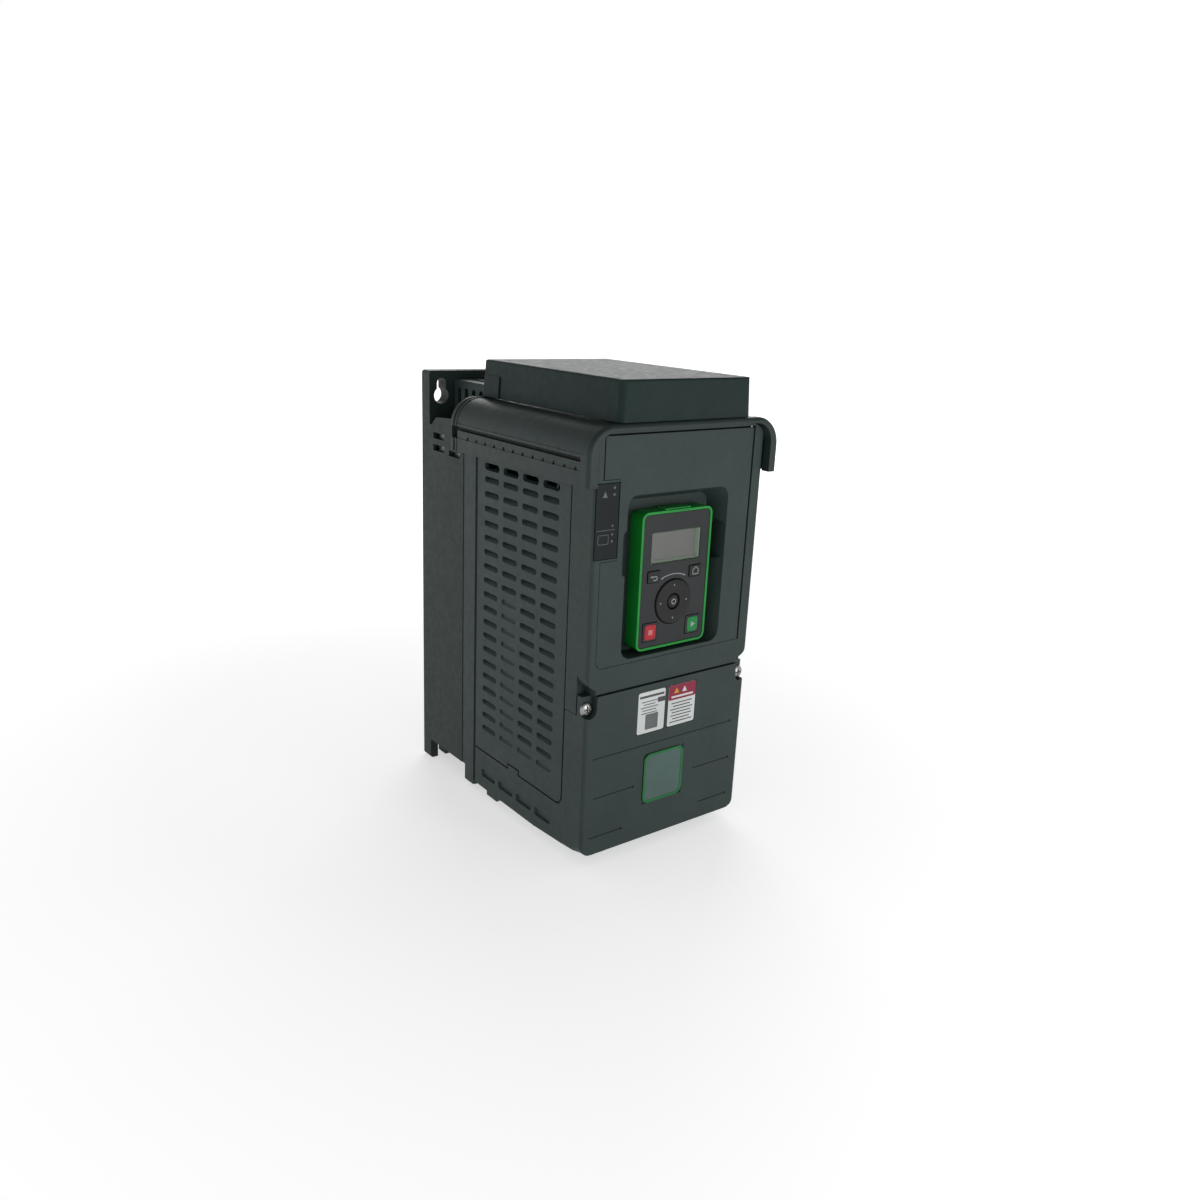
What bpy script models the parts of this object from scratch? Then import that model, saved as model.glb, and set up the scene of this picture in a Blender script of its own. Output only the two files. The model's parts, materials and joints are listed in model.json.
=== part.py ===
"""Wall-mounted variable frequency drive with a plug-in keypad, built as separate pieces.

X runs to the right seen from the front, Y towards the wall and Z up. The wall is the plane y = 0.
Sizes are in millimetres and become metres when a mesh is made. Heights are measured from the bottom
edge of the terminal cover, and the root empty then puts the origin in the middle of the wall face.
"""

import math

import bmesh
import bpy
from mathutils import Vector

MM = 0.001
GAP = 0.3  # running gap between neighbouring pieces
WALL = 2.5  # moulded wall thickness
OVER = 1.0  # how far a cutter reaches past the face it cuts

# Outside of the drive
BODY_HALF = 65.0
FRONT_Y = -200.0
TRIM_Y = -178.6  # where the vent panels meet the front pieces
GROOVE_Y = -72.9  # where the mid frame meets the vent panels
SKIRT_BOTTOM = -0.8
SKIRT_TOP = 26.3
COVER_TOP = 105.0

# Rear housing, its wall plate and its mounting holes
PLATE_HALF = 65.3
PLATE_BOTTOM = -8.1
PLATE_TOP = 277.6
PLATE_DEPTH = 10.6
DUCT_FRONT = -56.7
DUCT_BOTTOM = 7.2
DUCT_TOP = 250.0
WALL_FACE_HEIGHT = (PLATE_BOTTOM + PLATE_TOP) / 2
KEYHOLE_X = 56.1
KEYHOLE_Z = 261.0
KEYHOLE_RADIUS = 5.6
KEYHOLE_NECK = 3.4
KEYHOLE_NECK_Z = 269.4
SLOT_Z = 2.0
SLOT_HALF = 3.1
DUCT_STEP = ((-20.0, 247.5), (-15.5, 244.0), (-14.0, 242.0))
DUCT_SLOTS = (
    (-31.0, -16.0, 233.0, 237.2),
    (-31.0, -16.0, 224.8, 229.0),
    (-51.7, -37.4, 223.9, 227.7),
)

# Heat sink, fan cartridge and air outlet
SINK_BASE = (-56.4, -49.0)
SINK_HALF = 61.0
SINK_BOTTOM = 30.0
SINK_TOP = 236.0
FIN_TIP = -14.0
FIN_COUNT = 14
FIN_THICKNESS = 1.6
FAN_X = 27.0
FAN_Y = -33.5
FAN_RADIUS = 19.5
FAN_BOTTOM = 9.0
FAN_TOP = 26.0
FAN_BLADES = 7
BLADE_HALF = 0.5
BLADE_RISE = 0.36
OUTLET_HALF = 46.0
OUTLET_Y = (-53.0, -11.2)
OUTLET_Z = (250.6, 271.8)
OUTLET_WALL = 2.0
OUTLET_SIDE_SLOTS = (4, -17.5, -9.5, 2.3)
OUTLET_TOP_SLOTS = (9, -36.0, 9.0, 2.4)

# Mid frame
FRAME_Y = (-72.6, -57.0)
FRAME_FLANGE_Y = -60.3
FRAME_FLANGE_BOTTOM = -4.2
FRAME_WINDOW = (57.0, 14.0, 240.0)

# Vent panels
VENT_THICKNESS = 2.5
VENT_TOP = 248.0
VENT_COLUMNS = (-92.1, -113.9, -135.6, -158.0)
VENT_SLOT_HALF = 8.6
VENT_SLOT_HEIGHT = 4.0
VENT_ROWS = 19
VENT_LOWEST = 44.6
VENT_PITCH = 9.52
VENT_CORNER = 5.6
SKIRT_SLOT_Z = 10.6
NOTCH = (-128.9, -117.0, 29.7)

# Hood with its two wings
HOOD_Y = (-204.0, -53.3)
HOOD_TOP = 265.0
HOOD_HALF = 73.2
HOOD_ARC = 17.5
HOOD_BOTTOM = 231.0
HOOD_SKIN = 2.5
RIM_INNER_HALF = 66.5
RIM_INNER_TOP = 261.6
RIM_ARC = 12.4
RIM_DEPTH = 6.0
RECESS_Y = (-197.5, -55.4)
RECESS_Z = (239.5, 247.1)
RECESS_DEPTH = 1.4
AIR_SLOTS = 12
AIR_SLOT_PITCH = 10.0
AIR_SLOT_HALF = (42.0, 3.4)

# Top cover
TOP_HALF = 50.5
TOP_Y = (-201.0, -57.4)
TOP_Z = (265.3, 288.8)
CLIP_Y = -75.7
CLIP_TOP = 279.0
CLIP_PROUD = 0.8
EXHAUST_SLOTS = (9, -40.0, 10.0, 3.0)
EXHAUST_Z = (269.5, 284.0)

# Front shell, with the corner pockets of the cover screws
SHELL_BOTTOM = COVER_TOP + GAP
SHELL_TOP = 260.9
SHELL_ARC = 11.5
EDGE_ROUND = 2.5
POCKET_X = 58.3
POCKET_Z = (91.8, 118.3)
POCKET_ROUND = 9.0
POCKET_BACK = -190.0
TONGUE = (-60.0, -47.6, 187.3, 234.0)
WINDOW = (-63.9, -48.0, 188.8, 232.3)
WINDOW_DEPTH = 1.4
LEG_INNER = 57.0

# Front door
DOOR_X = (-59.3, 54.2)
DOOR_Z = (122.5, 259.3)
DOOR_THICKNESS = 3.6
DOOR_NOTCH = (-47.3, 187.0, 234.3)
HINGE_RADIUS = 1.8
HINGE_PIN = 0.9
HINGE_PIN_REACH = 7.0
HINGE_LUG = 4.0
RECESS = (-41.0, 37.4, 125.0, 224.0)
RECESS_SLOPE = 5.0  # how far the recess's sides and top lean in towards its floor
RECESS_FLOOR = -186.0
RECESS_ROUND = 7.0
TUB_WALL = 2.0
FINGER = (177.0, 203.0)
FINGER_ROUND = 4.0

# Keypad
KEYPAD_HALF = 27.6
KEYPAD_Z = (126.8, 212.2)
KEYPAD_ROUND = 4.5
KEYPAD_FRONT = -197.6
KEYPAD_RIM = 1.5
KEYPAD_FACE = (-197.2, -195.6)
KEYPAD_BACK = (-188.2, -186.4)
KEYPAD_BOARD = (24.5, -190.8, -189.4)
PLUG = (6.0, 164.0, 174.0, -178.5)
LCD = (19.4, 180.4, 199.6)
LCD_PANE = (-197.0, -196.2)
LCD_MODULE = (-195.3, -192.0)
RING_Z = 155.2
RING_RADIUS = 14.1
RING_BORE = 4.9
OK_RADIUS = 4.4
SMALL_KEY = (16.5, 172.6, 4.8, 3.6)
LARGE_KEY = (17.1, 138.0, 5.7, 5.8)
KEY_FRONT = -197.9
KEY_BACK = -193.6
KEY_FLANGE = (-195.2, -194.4)
KEY_LIP = 1.0
GIMBAL = (6.6, 10.0, -195.2, -194.3)
GIMBAL_Y = -195.0

# Terminal cover and what is on it
COVER_BACK = -178.9
COVER_BOTTOM_ROUND = 8.0
COVER_SCREW = (62.0, 97.0)
SCREW_HEAD = 4.4
SCREW_SHAFT = 2.0
SCREW_HOLE = 2.4
SCREW_FRONT = -197.5
SCREW_TIP = -180.0
SCREW_CROSS = (2.3, 0.45, 1.5)
LUG_Y = (-193.0, -190.2)
LUG_Z = (88.0, 102.0)
LUG_X = (52.0, 56.0, 64.4)
NOTCH_FLOOR = -193.4
LABEL_DEPTH = 0.6
LABEL_THICKNESS = 0.3
RATING_LABEL = (-25.0, -3.4, 73.0, 100.5)
CAUTION_LABEL = (-0.6, 22.0, 73.0, 100.5)
BADGE = (-17.8, 14.7, 24.0, 58.0)
BADGE_PROUD = 0.6

# Cable entry
GLAND_HALF = 50.0
GLAND_Y = (-166.0, -98.0)
GLAND_THICKNESS = 3.0
CABLE_X = (-32.0, 0.0, 32.0)
CABLE_Y = -132.0
CABLE_HOLE = 11.5
COUNTERBORE = (13.6, 1.8)
GROMMET_BORE = 8.5
GROMMET_LIP = 13.3
FOOT_Y = (-103.0, -90.0)
FOOT_X = (58.0, 65.0)

# Inside pieces, each as its lowest and highest corner
POWER_BOARD = ((-54.0, -80.0, 30.0), (54.0, -78.4, 235.0))
POWER_MODULE = ((-30.0, -72.0, 60.0), (30.0, -57.0, 130.0))
RECTIFIER = ((-24.0, -70.0, 150.0), (24.0, -57.0, 182.0))
CHOKE = ((-50.0, -118.0, 118.0), (-6.0, -80.4, 152.0))
CHOKE_WINDOW = 9.0
POWER_TERMINALS = ((-50.0, -160.0, 34.0), (50.0, -80.4, 54.0))
TERMINAL_WAYS = 7
TERMINAL_PITCH = 14.0
EARTH_BAR = ((-46.0, -160.0, 12.0), (46.0, -156.0, 22.0))
CONTROL_BOARD = ((-54.0, -160.0, 70.0), (54.0, -158.4, 240.0))
CONTROL_TERMINALS = ((-50.0, -176.0, 80.0), (10.0, -160.4, 92.0))
RELAY_TERMINALS = ((14.0, -176.0, 80.0), (32.0, -160.4, 92.0))
NETWORK_SOCKET = ((36.0, -176.0, 78.0), (53.0, -160.4, 93.0))
SOCKET_WALL = (2.6, 3.0)
RELAY_X = (18.0, 36.0)
RELAY = ((0.0, -173.0, 100.0), (14.0, -160.4, 118.0))
SHIELD_PLATE = ((-56.0, -152.0, 72.0), (56.0, -150.5, 236.0))
CAPACITOR_X = (-39.0, -13.0, 13.0, 39.0)
CAPACITOR_Z = 205.0
CAPACITOR_RADIUS = 11.5
CAPACITOR_LENGTH = 50.0
STIR_FAN_CENTRE = (0.0, -116.0)
STIR_FAN_HALF = 20.0
STIR_FAN_HUB = 6.0
STIR_FAN_Z = (224.0, 236.0)
SOCKET = ((-10.5, -183.7, 160.0), (10.5, -172.0, 178.0))

SHELL_GREY = (0.045, 0.058, 0.055, 1.0)
GREEN = (0.010, 0.230, 0.035, 1.0)
BLACK = (0.020, 0.021, 0.023, 1.0)
WHITE = (0.600, 0.620, 0.610, 1.0)
RED = (0.560, 0.020, 0.035, 1.0)
BOARD_GREEN = (0.015, 0.120, 0.050, 1.0)
STEEL = (0.550, 0.560, 0.570, 1.0)
ALUMINIUM = (0.700, 0.710, 0.720, 1.0)
COPPER = (0.620, 0.270, 0.120, 1.0)
GLASS_GREY = (0.200, 0.220, 0.170, 1.0)


def clear_scene():
    """Remove every object, so that the file holds only the drive."""
    for old in list(bpy.data.objects):
        bpy.data.objects.remove(old)


def material(name, colour, roughness, metallic=0.0):
    """A Principled material, made once for each name."""
    found = bpy.data.materials.get(name)
    if found:
        return found
    made = bpy.data.materials.new(name)
    made.use_nodes = True
    shader = made.node_tree.nodes["Principled BSDF"]
    shader.inputs["Base Color"].default_value = colour
    shader.inputs["Roughness"].default_value = roughness
    shader.inputs["Metallic"].default_value = metallic
    return made


def moulded_grey():
    return material("moulded_grey", SHELL_GREY, 0.55)


def black_plastic():
    return material("black_plastic", BLACK, 0.45)


def board_green():
    return material("board_green", BOARD_GREEN, 0.40)


def bright_steel():
    return material("bright_steel", STEEL, 0.30, 1.0)


def empty(name, place, parent=None):
    """An axis or a root that pieces are parented to."""
    made = bpy.data.objects.new(name, None)
    bpy.context.scene.collection.objects.link(made)
    made.location = Vector(place) * MM
    if parent:
        attach(made, parent)
    return made


def place_in_drive(obj):
    """Where an object lies in the drive's own frame, counting its parents up to the root."""
    place = Vector()
    while obj.parent is not None:
        place += obj.location
        obj = obj.parent
    return place


def attach(obj, parent):
    """Parent an object that was placed in the drive's frame, and leave it where it is."""
    obj.parent = parent
    if parent.parent is not None:
        obj.location = obj.location - place_in_drive(parent)


def object_from(bm, name, root):
    """Turn a bmesh in millimetres into an object in metres under the root."""
    bmesh.ops.recalc_face_normals(bm, faces=bm.faces)
    bmesh.ops.scale(bm, vec=(MM, MM, MM), verts=bm.verts)
    mesh = bpy.data.meshes.new(name)
    bm.to_mesh(mesh)
    bm.free()
    made = bpy.data.objects.new(name, mesh)
    bpy.context.scene.collection.objects.link(made)
    made.parent = root
    return made


def finish(obj, skin, axis_empty=None):
    """Give a piece its material and, if it moves, its origin on its joint's empty."""
    obj.data.materials.clear()
    obj.data.materials.append(skin)
    if axis_empty:
        place = place_in_drive(axis_empty)
        for vertex in obj.data.vertices:
            vertex.co = vertex.co - place
        obj.location = place
        attach(obj, axis_empty)
    obj.data.shade_smooth()
    obj.data.set_sharp_from_angle(angle=math.radians(35))
    return obj


def spatial(axis, across, up, along):
    """A point given by two plane coordinates and its place along an axis."""
    if axis == "X":
        return (along, across, up)
    if axis == "Y":
        return (across, along, up)
    return (across, up, along)


def prism(name, root, axis, outline, start, end):
    """Extrude a plane outline along an axis."""
    bm = bmesh.new()
    ring = [bm.verts.new(spatial(axis, across, up, start)) for across, up in outline]
    face = bm.faces.new(ring)
    grown = bmesh.ops.extrude_face_region(bm, geom=[face])
    moved = [item for item in grown["geom"] if isinstance(item, bmesh.types.BMVert)]
    bmesh.ops.translate(bm, vec=spatial(axis, 0.0, 0.0, end - start), verts=moved)
    return object_from(bm, name, root)


def stepped(name, root, axis, sections):
    """A closed solid through outlines of equal length, each at its own place along an axis."""
    bm = bmesh.new()
    rings = []
    for along, outline in sections:
        rings.append([bm.verts.new(spatial(axis, across, up, along)) for across, up in outline])
    count = len(rings[0])
    for lower, upper in zip(rings, rings[1:]):
        for i in range(count):
            j = (i + 1) % count
            bm.faces.new((lower[i], lower[j], upper[j], upper[i]))
    bm.faces.new(rings[0])
    bm.faces.new(rings[-1])
    return object_from(bm, name, root)


def turned(name, root, axis, centre, profile, segments):
    """Turn a closed profile of (radius, along) points that stays clear of the axis."""
    bm = bmesh.new()
    rings = []
    for k in range(segments):
        turn = math.tau * k / segments
        rings.append([
            bm.verts.new(spatial(
                axis,
                centre[0] + radius * math.cos(turn),
                centre[1] + radius * math.sin(turn),
                along,
            ))
            for radius, along in profile
        ])
    count = len(profile)
    for k in range(segments):
        here = rings[k]
        beside = rings[(k + 1) % segments]
        for i in range(count):
            j = (i + 1) % count
            bm.faces.new((here[i], here[j], beside[j], beside[i]))
    return object_from(bm, name, root)


def block(name, root, low, high):
    """A box between two corners."""
    outline = ((low[0], low[1]), (high[0], low[1]), (high[0], high[1]), (low[0], high[1]))
    return prism(name, root, "Z", outline, low[2], high[2])


def blocks(name, root, corners):
    """Several separate boxes as one cutter."""
    bm = bmesh.new()
    for low, high in corners:
        made = bmesh.ops.create_cube(bm, size=1.0)["verts"]
        size = [high[i] - low[i] for i in range(3)]
        middle = [(high[i] + low[i]) / 2 for i in range(3)]
        bmesh.ops.scale(bm, vec=size, verts=made)
        bmesh.ops.translate(bm, vec=middle, verts=made)
    return object_from(bm, name, root)


def arc(centre, radius, start, end, steps):
    """Points on an arc between two angles in degrees."""
    points = []
    for i in range(steps + 1):
        turn = math.radians(start + (end - start) * i / steps)
        points.append((centre[0] + radius * math.cos(turn), centre[1] + radius * math.sin(turn)))
    return points


def circle(centre, radius, segments):
    return arc(centre, radius, 0.0, 360.0, segments)[:-1]


def rounded(left, right, bottom, top, radius, steps=4):
    """A rectangle with round corners."""
    outline = arc((right - radius, top - radius), radius, 0.0, 90.0, steps)
    outline += arc((left + radius, top - radius), radius, 90.0, 180.0, steps)
    outline += arc((left + radius, bottom + radius), radius, 180.0, 270.0, steps)
    outline += arc((right - radius, bottom + radius), radius, 270.0, 360.0, steps)
    return outline


def mirrored(outline):
    """The same outline on the other side of the middle plane."""
    return [(-across, up) for across, up in reversed(outline)]


def sided(outline, side):
    return outline if side > 0 else mirrored(outline)


def combine(target, tool, operation):
    """Cut a tool from a piece, or fuse it to the piece, and hide the tool."""
    boolean = target.modifiers.new(tool.name, "BOOLEAN")
    boolean.operation = operation
    boolean.solver = "EXACT"
    boolean.object = tool
    tool.hide_render = True
    tool.display_type = "WIRE"


def cut(target, *tools):
    for tool in tools:
        combine(target, tool, "DIFFERENCE")


def fuse(target, *tools):
    for tool in tools:
        combine(target, tool, "UNION")


def settle(obj):
    """Replace a piece's modifiers by their result, so that its origin can move."""
    bpy.context.view_layer.update()
    graph = bpy.context.evaluated_depsgraph_get()
    mesh = bpy.data.meshes.new_from_object(obj.evaluated_get(graph))
    obj.modifiers.clear()
    obj.data = mesh
    return obj


def wall_box(name, root, skin, low, high):
    return finish(block(name, root, low, high), skin)


def rear_housing(root):
    """Wall plate with keyholes and slots, and the two side walls of the cooling duct."""
    plate = prism(
        "rear_housing", root, "Y",
        rounded(-PLATE_HALF, PLATE_HALF, PLATE_BOTTOM, PLATE_TOP, 2.0, 3),
        -PLATE_DEPTH, 0.0,
    )
    for side in (-1, 1):
        start = side * PLATE_HALF
        end = side * (PLATE_HALF - WALL)
        wall = prism(
            f"duct_wall_{side}", root, "X",
            ((-OVER, DUCT_BOTTOM), (DUCT_FRONT, DUCT_BOTTOM), (DUCT_FRONT, DUCT_TOP),
             *DUCT_STEP, (-OVER, DUCT_STEP[-1][1])),
            start, end,
        )
        fuse(plate, wall)
    slots = []
    for back, front, low, high in DUCT_SLOTS:
        slots.append(((-PLATE_HALF - OVER, back, low), (PLATE_HALF + OVER, front, high)))
    cut(plate, blocks("duct_slots", root, slots))
    for side in (-1, 1):
        keyhole = prism(
            f"keyhole_{side}", root, "Y",
            sided(keyhole_outline(), side),
            -PLATE_DEPTH - OVER, OVER,
        )
        slot = prism(
            f"mounting_slot_{side}", root, "Y",
            sided(slot_outline(), side),
            -PLATE_DEPTH - OVER, OVER,
        )
        cut(plate, keyhole, slot)
    return finish(plate, moulded_grey())


def keyhole_outline():
    """A round hole with a narrower round-ended neck above it."""
    meet = math.degrees(math.acos(KEYHOLE_NECK / KEYHOLE_RADIUS))
    outline = arc((KEYHOLE_X, KEYHOLE_NECK_Z), KEYHOLE_NECK, 0.0, 180.0, 8)
    outline += arc((KEYHOLE_X, KEYHOLE_Z), KEYHOLE_RADIUS, 180.0 - meet, 360.0 + meet, 20)
    return outline


def slot_outline():
    """A round-ended slot open at the plate's bottom edge."""
    outline = arc((KEYHOLE_X, SLOT_Z), SLOT_HALF, 0.0, 180.0, 8)
    outline.append((KEYHOLE_X - SLOT_HALF, PLATE_BOTTOM - OVER))
    outline.append((KEYHOLE_X + SLOT_HALF, PLATE_BOTTOM - OVER))
    return outline


def heat_sink(root):
    """Extruded base with fins that reach back into the duct."""
    pitch = (2 * SINK_HALF - FIN_THICKNESS) / (FIN_COUNT - 1)
    outline = [(SINK_HALF, SINK_BASE[0]), (-SINK_HALF, SINK_BASE[0])]
    for i in range(FIN_COUNT):
        left = -SINK_HALF + i * pitch
        right = left + FIN_THICKNESS
        if i:
            outline.append((left, SINK_BASE[1]))
        outline += [(left, FIN_TIP), (right, FIN_TIP)]
        if i < FIN_COUNT - 1:
            outline.append((right, SINK_BASE[1]))
    sink = prism("heat_sink", root, "Z", outline, SINK_BOTTOM, SINK_TOP)
    return finish(sink, material("bare_aluminium", ALUMINIUM, 0.40, 1.0))


def fan_cartridge(root):
    """Pull-out holder of the two cooling fans, each bay with a strut that carries its motor."""
    holder = block("fan_cartridge", root, (-58.0, -55.0, FAN_BOTTOM), (58.0, -12.0, FAN_TOP))
    for side in (-1, 1):
        bay = circle((side * FAN_X, FAN_Y), FAN_RADIUS, 32)
        cut(holder, prism(f"bay_{side}", root, "Z", bay, FAN_BOTTOM - OVER, FAN_TOP + OVER))
    for side in (-1, 1):
        low = (side * FAN_X - 2.5, FAN_Y - FAN_RADIUS - OVER, FAN_BOTTOM)
        high = (side * FAN_X + 2.5, FAN_Y + FAN_RADIUS + OVER, FAN_BOTTOM + 2.0)
        strut = block(f"strut_{side}", root, low, high)
        seat = prism(
            f"motor_seat_{side}", root, "Z",
            circle((side * FAN_X, FAN_Y), 6.5, 16),
            FAN_BOTTOM + 0.5, FAN_BOTTOM + 3.2,
        )
        fuse(holder, strut, seat)
    return finish(holder, black_plastic())


def add_blade(bm, middle, turn, inner, tip, rise):
    """A flat blade that leans 45 degrees, between two distances from the axis."""
    along = Vector((math.cos(turn), math.sin(turn), 0.0))
    across = Vector((-math.sin(turn), math.cos(turn), 0.0))
    lean = Vector((across.x * rise, across.y * rise, rise))
    thick = across.cross(lean).normalized().cross(lean).normalized() * BLADE_HALF
    corners = []
    for reach in (inner, tip):
        for up, sign in ((-1, -1), (-1, 1), (1, 1), (1, -1)):
            corners.append(bm.verts.new(middle + along * reach + lean * up + thick * sign))
    bm.faces.new(corners[:4])
    bm.faces.new(corners[:3:-1])
    for i in range(4):
        j = (i + 1) % 4
        bm.faces.new((corners[i], corners[i + 4], corners[j + 4], corners[j]))


def rotor(name, root, axis_empty, centre, hub, tip, low, high, skin):
    """A hub with tilted blades around a vertical axis."""
    body = prism(name, root, "Z", circle(centre, hub, 20), low, high)
    middle = Vector((centre[0], centre[1], (low + high) / 2))
    bm = bmesh.new()
    for i in range(FAN_BLADES):
        add_blade(bm, middle, math.tau * i / FAN_BLADES, hub - OVER, tip, (high - low) * BLADE_RISE)
    fuse(body, object_from(bm, name + "_blades", root))
    return finish(settle(body), skin, axis_empty)


def cooling_fans(root):
    for side, name in ((-1, "left"), (1, "right")):
        axis_empty = empty(f"fan_axis_{name}", (side * FAN_X, FAN_Y, FAN_TOP), root)
        rotor(
            f"fan_rotor_{name}", root, axis_empty, (side * FAN_X, FAN_Y), 7.0, FAN_RADIUS - 1.0,
            FAN_BOTTOM + 3.6, FAN_TOP - 1.5, black_plastic(),
        )


def air_outlet(root):
    """Slotted box on the duct where the warm air leaves, open at the bottom."""
    low = (-OUTLET_HALF, OUTLET_Y[0], OUTLET_Z[0])
    high = (OUTLET_HALF, OUTLET_Y[1], OUTLET_Z[1])
    box = block("air_outlet", root, low, high)
    hollow = block(
        "outlet_hollow", root,
        (low[0] + OUTLET_WALL, low[1] + OUTLET_WALL, low[2] - OVER),
        (high[0] - OUTLET_WALL, high[1] - OUTLET_WALL, high[2] - OUTLET_WALL),
    )
    count, first, pitch, half = OUTLET_SIDE_SLOTS
    side_slots = []
    for i in range(count):
        y = first + pitch * i
        side_slots.append((
            (low[0] - OVER, y - half, low[2] + 6.4), (high[0] + OVER, y + half, high[2] - 3.8),
        ))
    count, first, pitch, half = OUTLET_TOP_SLOTS
    top_slots = []
    for i in range(count):
        x = first + pitch * i
        top_slots.append(((x - half, low[1] + 7.0, high[2] - 4.0), (x + half, high[1] - 7.0, high[2] + OVER)))
    cut(box, hollow)
    cut(box, blocks("outlet_side_slots", root, side_slots))
    cut(box, blocks("outlet_top_slots", root, top_slots))
    return finish(box, moulded_grey())


def mid_frame(root):
    """Chassis frame between the duct and the electronics, with a flange below."""
    frame = prism(
        "mid_frame", root, "X",
        ((FRAME_Y[1], DUCT_BOTTOM), (FRAME_FLANGE_Y, DUCT_BOTTOM), (FRAME_FLANGE_Y, FRAME_FLANGE_BOTTOM),
         (FRAME_Y[0], FRAME_FLANGE_BOTTOM), (FRAME_Y[0], DUCT_TOP), (FRAME_Y[1], DUCT_TOP)),
        -BODY_HALF, BODY_HALF,
    )
    half, low, high = FRAME_WINDOW
    cut(frame, block("frame_window", root, (-half, FRAME_Y[0] - OVER, low), (half, FRAME_Y[1] + OVER, high)))
    return finish(frame, moulded_grey())


def vent_outline():
    """Side of a vent panel as (y, z), with its lower notch and round front corner."""
    back = GROOVE_Y - GAP
    front = TRIM_Y + GAP
    bottom = SKIRT_TOP + GAP
    outline = [(back, bottom), (back, VENT_TOP), (front, VENT_TOP)]
    outline += arc((front + VENT_CORNER, bottom + VENT_CORNER), VENT_CORNER, 180.0, 270.0, 5)
    outline += [(NOTCH[0] - GAP, bottom), (NOTCH[0] - GAP, NOTCH[2] + GAP)]
    outline += [(NOTCH[1] + GAP, NOTCH[2] + GAP), (NOTCH[1] + GAP, bottom)]
    return outline


def vent_slots(side):
    """Boxes of the slot grid, with a taller slot row at the top."""
    inner = BODY_HALF - VENT_THICKNESS - OVER
    outer = BODY_HALF + OVER
    xs = sorted((side * inner, side * outer))
    corners = []
    for column in VENT_COLUMNS:
        for row in range(VENT_ROWS + 1):
            low = VENT_LOWEST + VENT_PITCH * row - VENT_SLOT_HEIGHT / 2
            corners.append((
                (xs[0], column - VENT_SLOT_HALF, low),
                (xs[1], column + VENT_SLOT_HALF, low + VENT_SLOT_HEIGHT),
            ))
    return corners


def vent_panels(root):
    for side, name in ((-1, "left"), (1, "right")):
        panel = prism(
            f"{name}_vent_panel", root, "X", vent_outline(),
            side * (BODY_HALF - VENT_THICKNESS), side * BODY_HALF,
        )
        cut(panel, blocks(f"vent_slots_{name}", root, vent_slots(side)))
        finish(panel, moulded_grey())


def lower_housing(root):
    """Bottom tray with slotted skirts, the cable entry's opening and two small feet."""
    back = GROOVE_Y - GAP
    outline = [(back, SKIRT_BOTTOM), (TRIM_Y, SKIRT_BOTTOM), (TRIM_Y, SKIRT_TOP + VENT_CORNER)]
    corner = (TRIM_Y + GAP + VENT_CORNER, SKIRT_TOP + GAP + VENT_CORNER)
    outline += arc(corner, VENT_CORNER + GAP, 183.0, 270.0, 5)
    outline += [(NOTCH[0], SKIRT_TOP), (NOTCH[0], NOTCH[2]), (NOTCH[1], NOTCH[2]), (NOTCH[1], SKIRT_TOP)]
    outline += [(back, SKIRT_TOP)]
    tray = prism("lower_housing", root, "X", outline, -BODY_HALF, BODY_HALF)
    inner = BODY_HALF - WALL
    hollow = block(
        "tray_hollow", root,
        (-inner, TRIM_Y - OVER, SKIRT_BOTTOM + WALL), (inner, back - WALL, NOTCH[2] + OVER),
    )
    opening = block(
        "gland_opening", root,
        (-GLAND_HALF, GLAND_Y[0], SKIRT_BOTTOM - OVER), (GLAND_HALF, GLAND_Y[1], 10.0),
    )
    slots = []
    for column in VENT_COLUMNS:
        slots.append((
            (-BODY_HALF - OVER, column - VENT_SLOT_HALF, SKIRT_SLOT_Z - 2.0),
            (BODY_HALF + OVER, column + VENT_SLOT_HALF, SKIRT_SLOT_Z + 2.0),
        ))
    cut(tray, hollow, opening, blocks("skirt_slots", root, slots))
    for side in (-1, 1):
        foot = prism(
            f"foot_{side}", root, "X",
            ((FOOT_Y[1], SKIRT_BOTTOM + OVER), (FOOT_Y[1], FRAME_FLANGE_BOTTOM),
             (FOOT_Y[0], FRAME_FLANGE_BOTTOM), (FOOT_Y[0] - 4.0, SKIRT_BOTTOM + OVER)),
            side * FOOT_X[0], side * (FOOT_X[1] - 0.4),
        )
        fuse(tray, foot)
    return finish(tray, moulded_grey())


def gland_plate(root):
    """Plate with the three cable holes."""
    plate = block(
        "gland_plate", root,
        (-GLAND_HALF + GAP, GLAND_Y[0] + GAP, SKIRT_BOTTOM),
        (GLAND_HALF - GAP, GLAND_Y[1] - GAP, SKIRT_BOTTOM + GLAND_THICKNESS),
    )
    under = SKIRT_BOTTOM - OVER
    above = SKIRT_BOTTOM + GLAND_THICKNESS + OVER
    radius, depth = COUNTERBORE
    for x in CABLE_X:
        hole = circle((x, CABLE_Y), CABLE_HOLE, 20)
        cut(plate, prism(f"cable_hole_{x:.0f}", root, "Z", hole, under, above))
        seat = circle((x, CABLE_Y), radius, 20)
        cut(plate, prism(f"lip_seat_{x:.0f}", root, "Z", seat, under, SKIRT_BOTTOM + depth))
    return finish(plate, material("zinc_steel", STEEL, 0.45, 1.0))


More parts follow.
